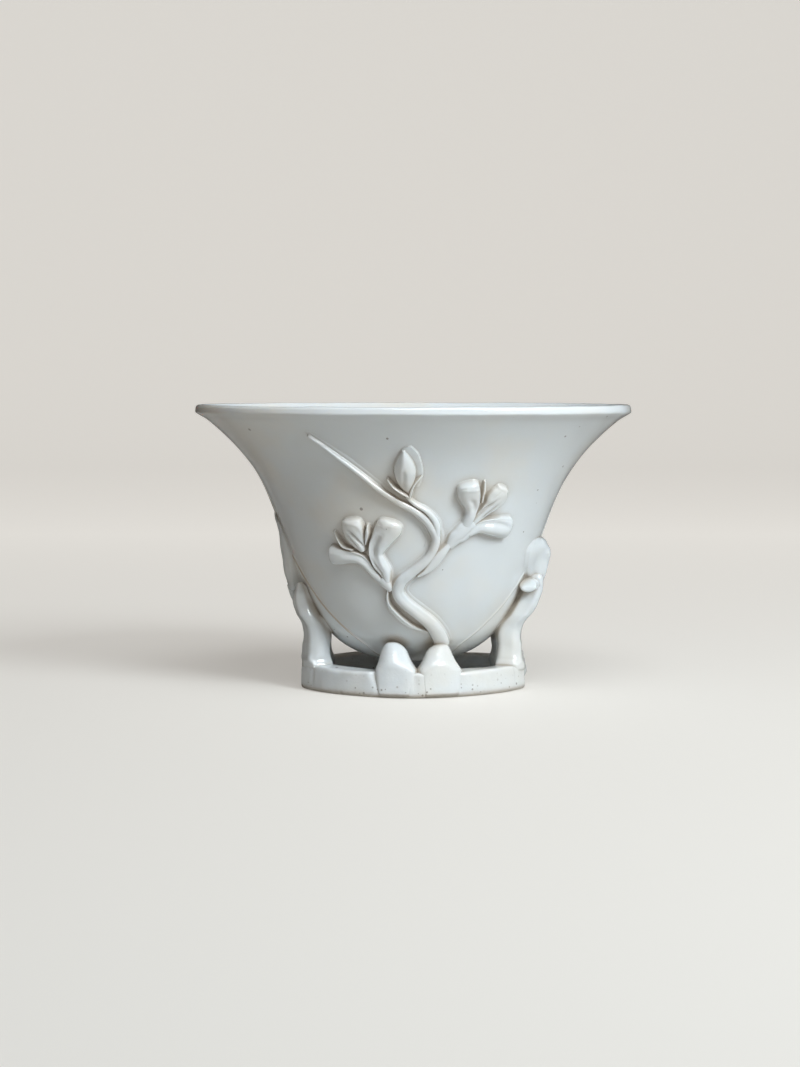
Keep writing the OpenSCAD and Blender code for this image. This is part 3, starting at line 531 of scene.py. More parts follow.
def limb(cup, rows, rise, half, inset, sunk, flare, hug, square, folds, seed,
         dome=0.8, full=0.0, knots=0.12):
    """A rock or a trunk, as a grid of level rings.

    Each ring is an oval round a centre that goes from the ring's plan to the bowl by the lean share. It widens
    in a hollow fillet above the ring and towards the bowl, and ends in a rounded top. A fold adds
    amount * cos(sides * angle + start + twist * height) to the half widths. The oval is |cos|^square by
    |sin|^square, squarer at the foot, and the foot lies on the ring's face, proud of it by the first length of
    hug in its middle down to the second length below the ring's top. full is what its front stands out above
    the ring, so that it runs on from the ring's face, and where it is given the rings between face and front
    are smoothed.
    """
    level_step, fillet, sink = 0.22, 0.9, 0.12
    rows = np.asarray(rows, float)
    u = np.linspace(0, len(rows) - 1, 60 * len(rows))
    dense = spline(rows, u)
    levels = np.linspace(0, rows[-1, 1], int(rows[-1, 1] * rise / level_step))
    body = spline(rows, np.interp(levels, dense[:, 1], u))
    low = np.repeat(body[:1], 9, axis=0)
    angle = np.radians(np.linspace(0, 90, 14)[1:])[:, None]
    tip = body[-1] + (body[-1] - body[-2]) * np.array([1, 0, 1, 1, 1]) * np.sin(angle) * dome / level_step
    shrink = np.concatenate([[0], np.ones(len(low) + len(body) - 1), np.cos(angle[:, 0]) ** 0.62])[:, None]
    base = cup.ring_height + cup.slip
    floor = base - cup.slip - sunk
    z = np.concatenate([
        [floor], np.linspace(floor, base, 9)[:-1], base + body[:, 1] * rise,
        base + body[-1, 1] * rise + dome * np.sin(angle[:, 0])])[:, None]
    over_ring = z - base
    turn, _, lean, out, along = np.concatenate([low, body, tip]).T[..., None]

    foot_x, foot_y = cup.ring_plan(turn, inset)
    a, b = cup.halves(np.maximum(z, cup.clearance + 0.4))
    off = 0.9 * out * half
    s, c = np.sin(np.radians(turn)), np.cos(np.radians(turn))
    lean = np.clip(lean, 0, 1)
    x0 = foot_x + ((a + off) * s - foot_x) * lean
    y0 = foot_y + (-(b + off) * c - foot_y) * lean

    g = np.radians(np.linspace(0, 360, 128, endpoint=False))
    square = square * (0.62 + 0.38 * ease(-1, 4, over_ring))
    round_out, round_along = (np.sign(v) * np.abs(v) ** square for v in (np.cos(g), np.sin(g)))
    ripple = 1 + sum(amount * np.cos(sides * g + start + twist * z) for amount, sides, start, twist in folds)
    spread = flare * (1 - ease(-0.5 * flare, 2.4 * flare, over_ring)) * ease(-1.3 * sunk, 0.2, over_ring)
    go_out = (out * half * ripple + 0.25 * spread) * shrink * round_out
    front = 0.6 * (1 - ease(-0.5, 3, over_ring)) + full * ease(-0.5, 3.5, over_ring)
    go_out = go_out + front * shrink * np.maximum(round_out, 0)
    go_along = (along * half * ripple + spread) * shrink * round_along
    p = np.stack([x0 + go_out * s + go_along * c, y0 - go_out * c + go_along * s, z + 0 * g], axis=-1)
    middle = np.stack([x0 + 0 * g, y0 + 0 * g, z + 0 * g], axis=-1)
    away = p - middle

    # Held in by the ring's plan near the ring, and free of it 2.2 mm above
    power = 2 / cup.plan_curve
    plan = ((np.abs(p[..., 0]) / (0.53 * cup.ring_length)) ** power
            + (np.abs(p[..., 1]) / (0.5 * cup.ring_width)) ** power) ** (1 / power)
    plan = np.maximum(plan, np.abs(p[..., 0]) / (0.5 * cup.ring_length))
    below = ease(hug[1] - 0.4, hug[1] + 0.4, -over_ring)
    over = hug[0] * (1 - below) - 0.25 * np.abs(round_along) ** 3 - 0.35 * z / cup.ring_height
    over = over - 0.25 * (full > 0) * ease(-4, 0.5, over_ring)
    limit = 1 + (over - 0.25 * below) / (cup.ring_width / 2)
    held = np.minimum(1, limit / np.maximum(plan, 0.1))
    held = 1 + (held - 1) * (1 - ease(0, 2.2, over_ring))
    p[..., :2] = p[..., :2] * held[..., None]
    if full:
        keep = 0.5 * (ease(-5, -3, over_ring) * (1 - ease(2.5, 5, over_ring)))[1:-1, :, None]
        for _ in range(36):
            p[1:-1, :, :2] += keep * ((p[2:, :, :2] + p[:-2, :, :2]) / 2 - p[1:-1, :, :2])

    p = p + knots * lumps(p, 4.5, seed)[..., None] * np.stack(unit(*np.moveaxis(away, -1, 0)), axis=-1)
    for _ in range(2):
        gap, normal = cup.gap(p)
        inside = (p[..., 2] > cup.clearance + 0.3) & (gap < -sink)
        p = p - np.where(inside, gap + sink, 0)[..., None] * normal
    gap, normal = cup.gap(p)
    away = away - (away * normal).sum(-1, keepdims=True) * normal
    size = np.linalg.norm(away, axis=-1, keepdims=True)
    step = cove(np.maximum(gap, 0), fillet) * ease(cup.clearance, cup.clearance + 1.5, p[..., 2]) * shrink
    return p + away / np.maximum(size, 0.6) * step[..., None]


def bowl_grid(cup):
    """The bowl as one closed surface: a profile from the bottom over the lip to the inside, by turns.

    The turns follow the seam, so that its rounded bead runs along the grid, with most of them close to it.
    """
    s = np.linspace(0, 0.82, 34)
    crown = cup.clearance + cup.belly_height * (1 - (1 - s ** cup.belly_curve) ** (1 / cup.belly_curve))
    z = np.concatenate([crown, np.linspace(crown[-1], cup.lip_z, 84)[1:]])
    a, b = cup.halves(z)
    a[0] = b[0] = 0
    da, dz = np.gradient(a), np.gradient(z)
    nr, nz = unit(dz, -da)
    nr[-1], nz[-1] = math.cos(math.radians(cup.lip_lean)), -math.sin(math.radians(cup.lip_lean))
    wall = cup.wall + (cup.lip - cup.wall) * cup.flare(z)
    g = np.radians(np.linspace(-cup.lip_lean, 180 - cup.lip_lean, 18)[1:-1])
    roll_out, roll_up = (np.sign(v) * np.abs(v) ** 0.88 for v in (np.cos(g), np.sin(g)))
    round_a = cup.rim_length / 2 - cup.lip / 2 + cup.lip / 2 * roll_out
    round_b = cup.rim_width / 2 - cup.lip / 2 + cup.lip / 2 * roll_out
    round_z = cup.height - cup.lip / 2 + cup.lip / 2 * roll_up
    long = np.concatenate([a, round_a, (a - wall * nr)[::-1]])
    wide = np.concatenate([b, round_b, (b - wall * nr)[::-1]])
    tall = np.concatenate([z, round_z, (z - wall * nz)[::-1]])
    long[-1] = wide[-1] = 0
    normal_r = np.concatenate([nr, np.cos(g), -nr[::-1]])
    normal_z = np.concatenate([nz, np.sin(g), -nz[::-1]])
    level = np.concatenate([z, np.full(len(g), cup.lip_z), z[::-1]])
    outside = np.concatenate([np.ones(len(z)), np.zeros(len(g) + len(z))])[:, None]
    seam = cup.seam_turn(level)[:, None]
    f = np.linspace(-1, 1, 173)[:-1]
    f = f + 0.8 * np.sin(math.pi * f) / math.pi
    turn = np.concatenate([seam * f, 180 + (180 - seam) * f], axis=1)
    per_turn, per_rise = cup.per_mm(turn, level[:, None] + 0 * turn)
    drift = np.gradient(seam[:, 0]) / np.maximum(np.gradient(level), 1e-3)
    lean = np.hypot(1, drift[:, None] / per_turn * per_rise)
    bead, bead_width = 0, 0.33
    for mark, strength in ((-seam, 0.42), (seam, 0.22)):
        away = ((turn - mark + 180) % 360 - 180) / per_turn / lean
        bead = bead + strength * np.exp(-(away / bead_width) ** 2)
    # It starts above the bottom and is nearly gone under the flare
    bead = bead * outside * ease(cup.clearance + 2, cup.clearance + 6, level)[:, None]
    bead = bead * (1 - 0.85 * ease(50, 64, level)[:, None])
    sn, cs = np.sin(np.radians(turn)), np.cos(np.radians(turn))
    swell = np.concatenate([
        ease(cup.lip_z - 2.2, cup.lip_z, z), 1 - ease(-cup.lip_lean, 5, np.degrees(g)), 0 * z])
    p = np.stack([long[:, None] * sn, -wide[:, None] * cs, tall[:, None] + 0 * sn], axis=-1)
    normal = np.stack([normal_r[:, None] * sn, -normal_r[:, None] * cs, normal_z[:, None] + 0 * sn], axis=-1)
    soft = 0.11 * lumps(p, 26, 3) + 0.05 * lumps(p, 9, 5)
    fade = np.minimum(1, long / 14)[:, None]
    return p + (soft * fade + bead + 0.36 * swell[:, None])[..., None] * normal


def ring_grid(cup):
    """The foot ring: a rounded section carried round the ring's plan, worn and pitted along its edges."""
    turn = np.linspace(0, 360, 640, endpoint=False)[:, None]
    g = np.radians(np.linspace(0, 360, 76, endpoint=False))
    box = [np.sign(v) * np.abs(v) ** 0.32 for v in (np.cos(g), np.sin(g))]
    z = cup.ring_height / 2 * (1 + box[1]) + 0 * turn
    inset = cup.ring_wall / 2 - (cup.ring_wall / 2 - 0.35 * z / cup.ring_height) * box[0]
    x, y = cup.ring_plan(turn, inset)
    p = np.stack([x, y, z], axis=-1)
    faces_out = np.clip(box[0], 0, 1)
    top = ease(0.5, 1, box[1])
    foot = ease(0.55, 0.95, -box[1])
    wave = 0.22 * lumps(p, 9, 11) + 0.1 * lumps(p, 3.4, 12)
    chips = np.maximum(lumps(p * [1, 1, 0.4], 2.1, 13) - 0.62, 0) * 0.9
    push = wave * (0.35 + 0.65 * top) - chips * foot * faces_out
    for mark, slant, depth, wide in RING_NICKS:
        away = (turn - mark - slant * ease(2.5, cup.ring_height, z) + 180) % 360 - 180
        push = push - depth * faces_out * np.exp(-(away / wide) ** 2) * ease(0.8, 3.6, z)
    lump_turn, lump_z, lump_wide, lump_tall, lump_out = RING_LUMP
    lump = np.exp(-((turn - lump_turn) / lump_wide) ** 2 - ((z - lump_z) / lump_tall) ** 2)
    push = push + lump_out * lump * faces_out
    lift = 0.25 * lumps(p, 11, 14) * top
    centre_x, centre_y = cup.ring_plan(turn, cup.ring_wall / 2)
    ox, oy = unit(x - centre_x, y - centre_y)
    q = p + np.stack([ox * push, oy * push, lift], axis=-1)
    q[..., 2] = np.where(foot > 0.6, p[..., 2], q[..., 2])
    return q


def stub_grid(cup):
    """The cut stub: a short flattened peg with a rolled edge, cut off by a plane that faces up and front."""
    half = cup.trunk_width / 2
    turn = np.radians(STUB_ROW[0])
    z = cup.ring_height + cup.slip + STUB_ROW[1] * cup.trunk_rise
    a, b = cup.halves(np.array(z))
    off = 0.9 * STUB_ROW[3] * half
    heart = np.array([(a + off) * math.sin(turn), -(b + off) * math.cos(turn), z])
    axis = np.array([-math.cos(turn), -math.sin(turn), 0.0])
    over = np.array([math.sin(turn), -math.cos(turn), 0.0])
    start = heart + axis * (STUB_ROW[4] * half + cup.slip) - 0.9 * over - [0, 0, 0.45]
    r = 0.44 * cup.stub_width
    bend = np.radians(np.linspace(0, 90, 10))
    edge = r * 0.3
    radius = np.concatenate([[0, r * 0.7], r + cove(np.linspace(0, 1, 8), 0.9) * 0.8,
                             r - edge + edge * np.cos(bend), r * np.array([0.6, 0.5, 0.38, 0.2, 0])])
    reach = np.concatenate([[-2.4, -2.3], np.linspace(-1.2, cup.stub_reach - edge - 0.2, 8),
                            cup.stub_reach - edge + edge * np.sin(bend),
                            cup.stub_reach + np.array([0, -0.1, -0.16, -0.14, -0.1])])
    g = np.radians(np.linspace(0, 360, 72, endpoint=False))
    tall = 0.76 * radius[:, None] * np.sin(g)
    plane_up, plane_out, plane_off = 0.8, 0.6, 0.62 * r
    cut = soft_low(reach[:, None] + 0.2, (plane_off - plane_up * tall) / plane_out, 0.35)
    side = radius[:, None, None] * np.cos(g)[:, None] * over + tall[..., None] * np.array([0, 0, 1.0])
    p = start + side + cut[..., None] * axis
    return p + 0.07 * lumps(p, 2.6, 21)[..., None] * axis


def side_bud_grid(cup):
    """The open side bud: level rings of a spoon whose hollow faces the front, between two rounded rims.

    Each ring is a smooth closed curve through ten places, given by their turn and their distance off the bowl.
    """
    rows = np.array(SIDE_BUD)
    rise, front, outer, back, full, hollow = spline(rows, np.linspace(0, len(rows) - 1, 64)).T
    top = cup.ring_height + cup.slip + TRUNK_FRONT_RIGHT[-1][1] * cup.trunk_rise
    z = top + rise * cup.trunk_width
    middle = (front + outer) / 2
    full_height = 4.3
    high, open_share = full_height * np.clip(full, 0, 2), np.clip(hollow, 0, 1)
    turns = np.stack([
        front, front + 0.4, front + 0.2 * (outer - front), middle, outer - 4, outer - 1.2, outer + 1.2,
        outer + 0.55 * (back - outer), back - 0.4, back])
    offs = [-0.5 + 0 * z]
    for filled, opened in ((0.12, 0.5), (0.3, 1.1), (0.56, 1.25), (0.84, 2.4), (0.98, 3.95), (1, 4.3)):
        offs.append(high * (filled * (1 - open_share) + opened / full_height * open_share))
    offs = np.stack(offs + [0.76 * high, 0.2 * high, -0.5 + 0 * z])
    ring = np.stack([turns, offs], axis=-1)
    count = len(ring)
    around = np.concatenate([ring[-2:], ring, ring[:3]])
    dense = spline(around.reshape(count + 5, -1), np.linspace(2, count + 2, 108, endpoint=False))
    dense = dense.reshape(-1, len(z), 2).transpose(1, 0, 2)
    dense[0], dense[-1] = dense[0].mean(axis=0), dense[-1].mean(axis=0)
    p = cup.point(dense[..., 0], z[:, None] + 0 * dense[..., 0], dense[..., 1])
    outward = cup.gap(p)[1]
    return p + 0.09 * lumps(p, 3.5, 60)[..., None] * outward


def blossom_grid(cup, place, seed):
    """A plum blossom: five notched petals round a button, each petal a hollow with a raised rim."""
    g = np.radians(np.linspace(0, 360, 200, endpoint=False))
    petal = np.abs(np.sin(2.5 * g))
    radius = cup.blossom_width / 2 * (1 - 0.24 * (1 - petal)) * (1 - 0.05 * np.exp(-((petal - 1) / 0.01) ** 2))
    skirt = np.array([0.07, 0.14, 0.22, 0.3, 0.4, 0.5]) / 4
    share = np.concatenate([np.linspace(0, 1, 34), 1 + skirt])[:, None]
    turn, z = place[0], place[1] * cup.height
    per_turn, per_rise = cup.per_mm(turn, z)
    spin = g + seed
    grid_turn = turn + share * radius * np.cos(spin) * per_turn
    grid_z = z + share * radius * np.sin(spin) * per_rise
    reach = (share - 1) * radius
    t = cup.blossom_rise
    inner = np.minimum(share, 1)
    height = t * (0.42 + 0.34 * np.exp(-((inner - 0.84) / 0.14) ** 2) * petal ** 0.5
                  - 0.1 * np.exp(-((inner - 0.52) / 0.2) ** 2))
    parting = np.sin(2.5 * g) / 2.5 * inner * radius
    height = height - 0.5 * np.exp(-(parting / 0.28) ** 2) * ease(0.3, 0.5, inner)
    height = height + t * 0.5 * np.exp(-(inner / 0.14) ** 2)
    height = height + t * 0.26 * np.exp(-((inner - 0.31) / 0.06) ** 2) * (0.5 + 0.5 * np.cos(15 * g)) ** 2
    height = height + 0.04 * lumps(cup.point(grid_turn, grid_z, 0), 2.5, 31)
    top = pressed(cup, grid_turn, grid_z, reach, height)
    under = cup.point(grid_turn[[-1, 0]], grid_z[[-1, 0]], -RELIEF_ROOT)
    return np.concatenate([top, under])


def glaze(name, look, roughness, specks, pits, grit=0.0, bare_below=0.0, seam=None):
    """A milky glaze: tint clouds, painted shade in the hollows, iron specks and fine pits.

    specks and grit are the shares of cells that hold a speck or a grain, and 0.3 times pits is the share that
    holds a pit. A gritty glaze is rougher, and bare below a height in metres: it turns to the dry body colour
    under it, with an uneven edge. seam is the bowl's height in metres and its width by its length, for the
    tint that the slip leaves along the seam, which follows Cup.seam_turn. The tint is stronger on the left
    side, and that extra strength is painted shade.
    """
    found = bpy.data.materials.get(name)
    if found:
        return found
    made = bpy.data.materials.new(name)
    made.use_nodes = True
    tree = made.node_tree
    new, link = tree.nodes.new, tree.links.new
    shader = tree.nodes["Principled BSDF"]
    shader.inputs["IOR"].default_value = 1.5
    shader.inputs["Coat Weight"].default_value = 0.6
    shader.inputs["Coat Roughness"].default_value = 0.06
    shader.inputs["Subsurface Weight"].default_value = 0.12
    shader.inputs["Subsurface Radius"].default_value = (1.0, 0.85, 0.7)
    shader.inputs["Subsurface Scale"].default_value = 0.0012
    place = new("ShaderNodeTexCoord").outputs["Object"]

    def noise(scale, detail, rough=0.5):
        node = new("ShaderNodeTexNoise")
        node.inputs["Scale"].default_value = scale
        node.inputs["Detail"].default_value = detail
        node.inputs["Roughness"].default_value = rough
        link(place, node.inputs["Vector"])
        return node.outputs["Fac"]

    def spread(value, low, high, start=0.0, end=1.0):
        node = new("ShaderNodeMapRange")
        node.interpolation_type = "SMOOTHSTEP"
        for key, number in (("From Min", low), ("From Max", high), ("To Min", start), ("To Max", end)):
            node.inputs[key].default_value = number
        link(value, node.inputs["Value"])
        return node.outputs["Result"]

    def sums(kind, first, second):
        node = new("ShaderNodeMath")
        node.operation = kind
        for socket, value in zip(node.inputs, (first, second)):
            if isinstance(value, (int, float)):
                socket.default_value = value
            else:
                link(value, socket)
        return node.outputs["Value"]

    def blend(share, first, second):
        node = new("ShaderNodeMix")
        node.data_type = "RGBA"
        for key, value in ((0, share), (6, first), (7, second)):
            if hasattr(value, "links"):
                link(value, node.inputs[key])
            elif key:
                node.inputs[key].default_value = (*value, 1)
            else:
                node.inputs[key].default_value = value
        return node.outputs[2]

    def dots(scale, chosen, size):
        node = new("ShaderNodeTexVoronoi")
        node.inputs["Scale"].default_value = scale
        link(place, node.inputs["Vector"])
        pick = new("ShaderNodeSeparateColor")
        link(node.outputs["Color"], pick.inputs[0])
        few = sums("LESS_THAN", pick.outputs[0], chosen)
        wide = sums("MULTIPLY", pick.outputs[1], size)
        near = sums("LESS_THAN", node.outputs["Distance"], wide)
        return sums("MULTIPLY", few, near)

    milk, ivory, iron, body = (tuple(getattr(look, key)) for key in ("milk", "ivory", "iron", "body"))
    colour = blend(spread(noise(38, 3), 0.42, 0.72), milk, ivory)
    # Painted shade: where ambient occlusion finds corners and creases within 2.8 mm, the colour is darkened
    # towards the painted corner shade
    corner = new("ShaderNodeAmbientOcclusion")
    corner.samples = 8
    corner.inputs["Distance"].default_value = 0.0028
    colour = blend(spread(corner.outputs["AO"], 0.45, 1.0, 0.74, 0.0), colour, tuple(look.pool))
    if seam:
        at = new("ShaderNodeSeparateXYZ")
        link(place, at.inputs[0])
        x, y, z = at.outputs
        lean = sums("SUBTRACT", SEAM_LEAN * SEAM_TOP, sums("MULTIPLY", z, SEAM_LEAN / seam[0]))
        root = sums("SQRT", sums("ADD", sums("MULTIPLY", lean, lean), SEAM_ROUND ** 2), 0)
        forward = sums("MINIMUM", sums("MULTIPLY", sums("ADD", lean, root), 0.5), SEAM_MOST)
        aside = sums("SQRT", sums("SUBTRACT", 1, sums("MULTIPLY", forward, forward)), 0)
        along = sums("MULTIPLY", sums("MULTIPLY", sums("ABSOLUTE", x, 0), seam[1]), forward)
        off = sums("ABSOLUTE", sums("ADD", along, sums("MULTIPLY", y, aside)), 0)
        # The seam's tint is full on the left side and falls to a quarter on the right: the stronger tint on the
        # left is painted shade, because the left side lies in shade
        tint = sums("MULTIPLY", spread(off, 0.0001, 0.00045, 0.62, 0.0), spread(x, -0.02, 0.02, 1.0, 0.25))
        away = new("ShaderNodeSeparateXYZ")
        link(new("ShaderNodeTexCoord").outputs["Normal"], away.inputs[0])
        outside = spread(sums("MULTIPLY", x, away.outputs["X"]), 0, 0.002)
        colour = blend(sums("MULTIPLY", tint, outside), colour, tuple(look.slip))
    marks = dots(280, specks, 0.13)
    colour = blend(sums("MULTIPLY", marks, 0.6), colour, iron)
    if grit:
        height = new("ShaderNodeSeparateXYZ")
        link(place, height.inputs[0])
        low = spread(height.outputs["Z"], 0.0012, 0.005, 1.0, 0.15)
        grains = sums("MULTIPLY", dots(900, grit, 0.3), low)
        colour = blend(sums("MULTIPLY", grains, 0.6), colour, iron)
        edge = sums("ADD", height.outputs["Z"], sums("MULTIPLY", noise(160, 2), 0.0012))
        bare = spread(edge, bare_below + 0.0004, bare_below + 0.0009, 1.0, 0.0)
        colour = blend(bare, colour, body)
        link(spread(bare, 0, 1, roughness, 0.75), shader.inputs["Roughness"])
    else:
        link(spread(noise(60, 2), 0.35, 0.7, roughness * 0.8, roughness * 1.3), shader.inputs["Roughness"])
    link(colour, shader.inputs["Base Color"])
    skin_wave = sums("MULTIPLY", noise(170, 2), 0.6)
    fine = sums("MULTIPLY", noise(800 if grit else 1400, 2, 0.6), 0.12 + grit)
    holes = sums("MULTIPLY", dots(520, pits * 0.3, 0.22), -0.6)
    bump = new("ShaderNodeBump")
    bump.inputs["Strength"].default_value = 0.35
    bump.inputs["Distance"].default_value = 0.0003
    link(sums("ADD", sums("ADD", skin_wave, fine), holes), bump.inputs["Height"])
    link(bump.outputs["Normal"], shader.inputs["Normal"])
    return made


def bowl_glaze():
    """The bowl's glaze, with the tint along its seam."""
    cup = Cup(bpy.context.scene.cup_sizes)
    seam = (cup.height * MM, cup.belly_width / cup.belly_length)
    return glaze("milk_glaze_bowl", bpy.context.scene.cup_glaze, 0.15, 0.2, 0.4, seam=seam)


def relief_glaze():
    """The glaze of the sprays, the side bud, the trunks and the stub."""
    return glaze("milk_glaze_relief", bpy.context.scene.cup_glaze, 0.17, 0.02, 0.4)


def foot_glaze():
    """The glaze of the ring and the rocks, gritty and bare at the standing edge."""
    return glaze("milk_glaze_foot", bpy.context.scene.cup_glaze, 0.22, 0.35, 1.2, grit=0.5, bare_below=0.0003)


GLAZES = {"bowl_glaze": bowl_glaze, "relief_glaze": relief_glaze, "foot_glaze": foot_glaze}


def petal(cup, node, rows, marks=(), **more):
    """One petal of the relief, as a strip with its folds and rims."""
    grid = strip(cup, rows, cup.petal_width / 2, cup.petal_rise, marks, **more)
    return skin("relief_" + node, grid, "relief_glaze", [node])


def twig(cup, node, rows, width, rise, marks=(), **more):
    """One stem or twig of the relief, as a strip with a round back."""
    grid = strip(cup, rows, width / 2, rise, marks, **more)
    return skin("relief_" + node, grid, "relief_glaze", [node])


class CUP_OT_bowl(Operator):
    """Make the bowl with its rolled lip and the bead along its seam"""

    bl_idname = "cup.make_bowl"
    bl_label = "Bowl"

    def execute(self, context):
        cup = Cup(context.scene.cup_sizes)
        skin("bowl", bowl_grid(cup), "bowl_glaze", ["bowl_front", "bowl_back"])
        return {"FINISHED"}


class CUP_OT_ring(Operator):
    """Make the foot ring with its worn, pitted edge"""

    bl_idname = "cup.make_ring"
    bl_label = "Foot ring"

    def execute(self, context):
        cup = Cup(context.scene.cup_sizes)
        skin("ring", ring_grid(cup), "foot_glaze", ["foot_ring"], hoop=True)
        return {"FINISHED"}


class CUP_OT_rocks(Operator):
    """Make the four rocks that rise from the ring to the bowl"""

    bl_idname = "cup.make_rocks"
    bl_label = "Rocks"

    def execute(self, context):
        cup = Cup(context.scene.cup_sizes)
        folds = ((0.035, 3, 0.4, 0.08), (0.025, 5, 1.3, -0.1))
        for seed, (node, rows) in enumerate((
                ("rock_front_left", ROCK_FRONT_LEFT), ("rock_front_right", ROCK_FRONT_RIGHT),
                ("rock_back_left", ROCK_BACK_LEFT), ("rock_back_right", ROCK_BACK_RIGHT))):
            grid = limb(cup, rows, cup.rock_rise, cup.rock_width / 2, cup.ring_wall / 2, sunk=6.1, flare=0.9,
                        hug=(0.3, 9), square=0.9, folds=folds, seed=40 + seed, dome=3.0, full=1.2, knots=0.09)
            skin("foot_" + node, grid, "foot_glaze", [node])
        return {"FINISHED"}


class CUP_OT_trunks(Operator):
    """Make the four tree trunks and the cut stub on the right one"""

    bl_idname = "cup.make_trunks"
    bl_label = "Trunks and stub"

    def execute(self, context):
        cup = Cup(context.scene.cup_sizes)
        half = cup.trunk_width / 2
        folds = ((0.03, 4, 0.9, 0.05), (0.02, 7, 2.1, -0.04))
        for seed, (node, rows, hug) in enumerate((
                ("trunk_front_left", TRUNK_FRONT_LEFT, (0.12, 1)),
                ("trunk_front_right", TRUNK_FRONT_RIGHT, (0.5, 1.7)),
                ("trunk_back_left", TRUNK_BACK_LEFT, (0.12, 1)),
                ("trunk_back_right", TRUNK_BACK_RIGHT, (0.3, 2)))):
            grid = limb(cup, rows, cup.trunk_rise, half, half + cup.ring_wall / 10, sunk=2.9, flare=0.7,
                        hug=hug, square=0.8, folds=folds, seed=50 + seed)
            skin("foot_" + node, grid, "relief_glaze", [node])
        skin("foot_cut_stub", stub_grid(cup), "relief_glaze", ["cut_stub"])
        return {"FINISHED"}


class CUP_OT_side_bud(Operator):
    """Make the open side bud that stands on the right trunk"""

    bl_idname = "cup.make_side_bud"
    bl_label = "Side bud"

    def execute(self, context):
        cup = Cup(context.scene.cup_sizes)
        skin("relief_side_bud", side_bud_grid(cup), "relief_glaze", ["side_bud"])
        return {"FINISHED"}


class CUP_OT_stem(Operator):
    """Make the magnolia's stem and its three twigs"""

    bl_idname = "cup.make_magnolia_stem"
    bl_label = "Magnolia stem and twigs"

    def execute(self, context):
        cup = Cup(context.scene.cup_sizes)
        width, rise = cup.stem_width, cup.stem_rise
        foot = cup.above(ROCK_FRONT_RIGHT, cup.rock_rise, STEM_FOOT, width)
        twig(cup, "magnolia_stem", foot + STEM, width, rise, (
            (0.1, 0.6, [(0.03, -0.1), (0.2, -0.2), (0.5, -0.1), (0.8, 0)]),
            (-0.12, 0.3, [(0.1, 0.45), (0.2, 0.5), (0.3, 0.4)]),
        ), body=0.5, ledge=0.16, seed=61)
        twig(cup, "magnolia_loop_twig", LOOP_TWIG, width, rise, (
            (0.15, 0.3, [(0.1, -0.4), (0.4, -0.5), (0.8, -0.4)]),
        ), body=0.6, ends=(0.8, 0.8), seed=62)
        twig(cup, "magnolia_bud_twig", BUD_TWIG, width, rise, body=0.5, ends=(0.8, 0.8), seed=63)
        twig(cup, "magnolia_flower_twig", FLOWER_TWIG, width, rise, body=0.65, ends=(0.8, 0.6), seed=64)
        return {"FINISHED"}


class CUP_OT_bud(Operator):
    """Make the magnolia's closed bud with its wrap and sepals"""

    bl_idname = "cup.make_magnolia_bud"
    bl_label = "Magnolia bud"

    def execute(self, context):
        cup = Cup(context.scene.cup_sizes)
        petal(cup, "bud_wrap", BUD_WRAP, body=0.8, ends=(0.7, 0.7), seed=66)
        petal(cup, "bud_heart", BUD_HEART, (
            (-0.3, 0.6, [(0.12, -0.5), (0.35, -0.15), (0.6, -0.07)]),
            (0.12, 0.6, [(0.55, -0.4), (0.75, -0.2), (0.95, 0)]),
        ), body=0.45, dome=2, ends=(0.8, 0.8), seed=65)
        petal(cup, "bud_sepal_left", BUD_SEPAL_LEFT, body=0.5, ends=(0.8, 0.8), seed=67)
        petal(cup, "bud_sepal_right", BUD_SEPAL_RIGHT, body=0.5, ends=(0.8, 0.8), seed=68)
        return {"FINISHED"}


class CUP_OT_left_flower(Operator):
    """Make the magnolia's left flower"""

    bl_idname = "cup.make_left_flower"
    bl_label = "Left flower"

    def execute(self, context):
        cup = Cup(context.scene.cup_sizes)
        petal(cup, "left_flower_neck", LEFT_NECK, seed=69)
        petal(cup, "left_petal_outer", LEFT_OUTER, (
            (0.28, 0.36, [(0.05, 0.8), (0.25, 0.86), (0.41, 0.9), (0.53, 0.84), (0.7, 0.8), (0.88, 0.74)]),
            (-0.32, 0.55, [(0.2, 0.4), (0.45, 0.45), (0.6, 0.36), (0.76, 0.26)]),
            (0.16, 0.8, [(0.3, -0.45), (0.6, -0.45), (0.8, -0.4)]),
        ), ends=(0.6, 0.5), seed=70)
        petal(cup, "left_sepal", LEFT_SEPAL, body=0.5, ends=(0.8, 0.8), seed=71)
        petal(cup, "left_petal_upper", LEFT_UPPER, (
            (-0.5, 0.32, [(0.08, 0.6), (0.31, 0.36), (0.59, 0.04), (0.76, -0.3)]),
            (-0.32, 0.24, [(0.1, -0.36), (0.32, -0.3), (0.54, -0.4), (0.67, -0.55)]),
            (0.2, 0.5, [(1.0, -0.7), (1.0, 0), (0.9, 0.6), (0.6, 0.85), (0.35, 0.9)]),
        ), ends=(0.6, 0.42), seed=72)
        petal(cup, "left_petal_middle", LEFT_MIDDLE, body=0.5, ends=(0.8, 0.8), seed=73)
        petal(cup, "left_petal_curled", LEFT_CURLED, (
            (0.36, 0.32, [
                (0.12, -0.72), (0.3, -0.74), (0.44, -0.82), (0.54, -0.84), (0.68, -0.8), (0.8, -0.75)]),
            (-0.75, 0.75, [(0.42, -0.15), (0.56, -0.25), (0.69, -0.28), (0.82, -0.2)]),
            (-0.3, 0.22, [(0.03, -0.5), (0.24, -0.34), (0.38, -0.42)]),
            (0.2, 0.6, [(0.15, 0.25), (0.32, 0.44), (0.52, 0.6), (0.72, 0.5)]),
            (0.3, 1.1, [(0.96, -0.7), (1.0, -0.3), (1.02, 0.1), (1.0, 0.5)]),
        ), ends=(0.6, 0.55), seed=74)
        return {"FINISHED"}


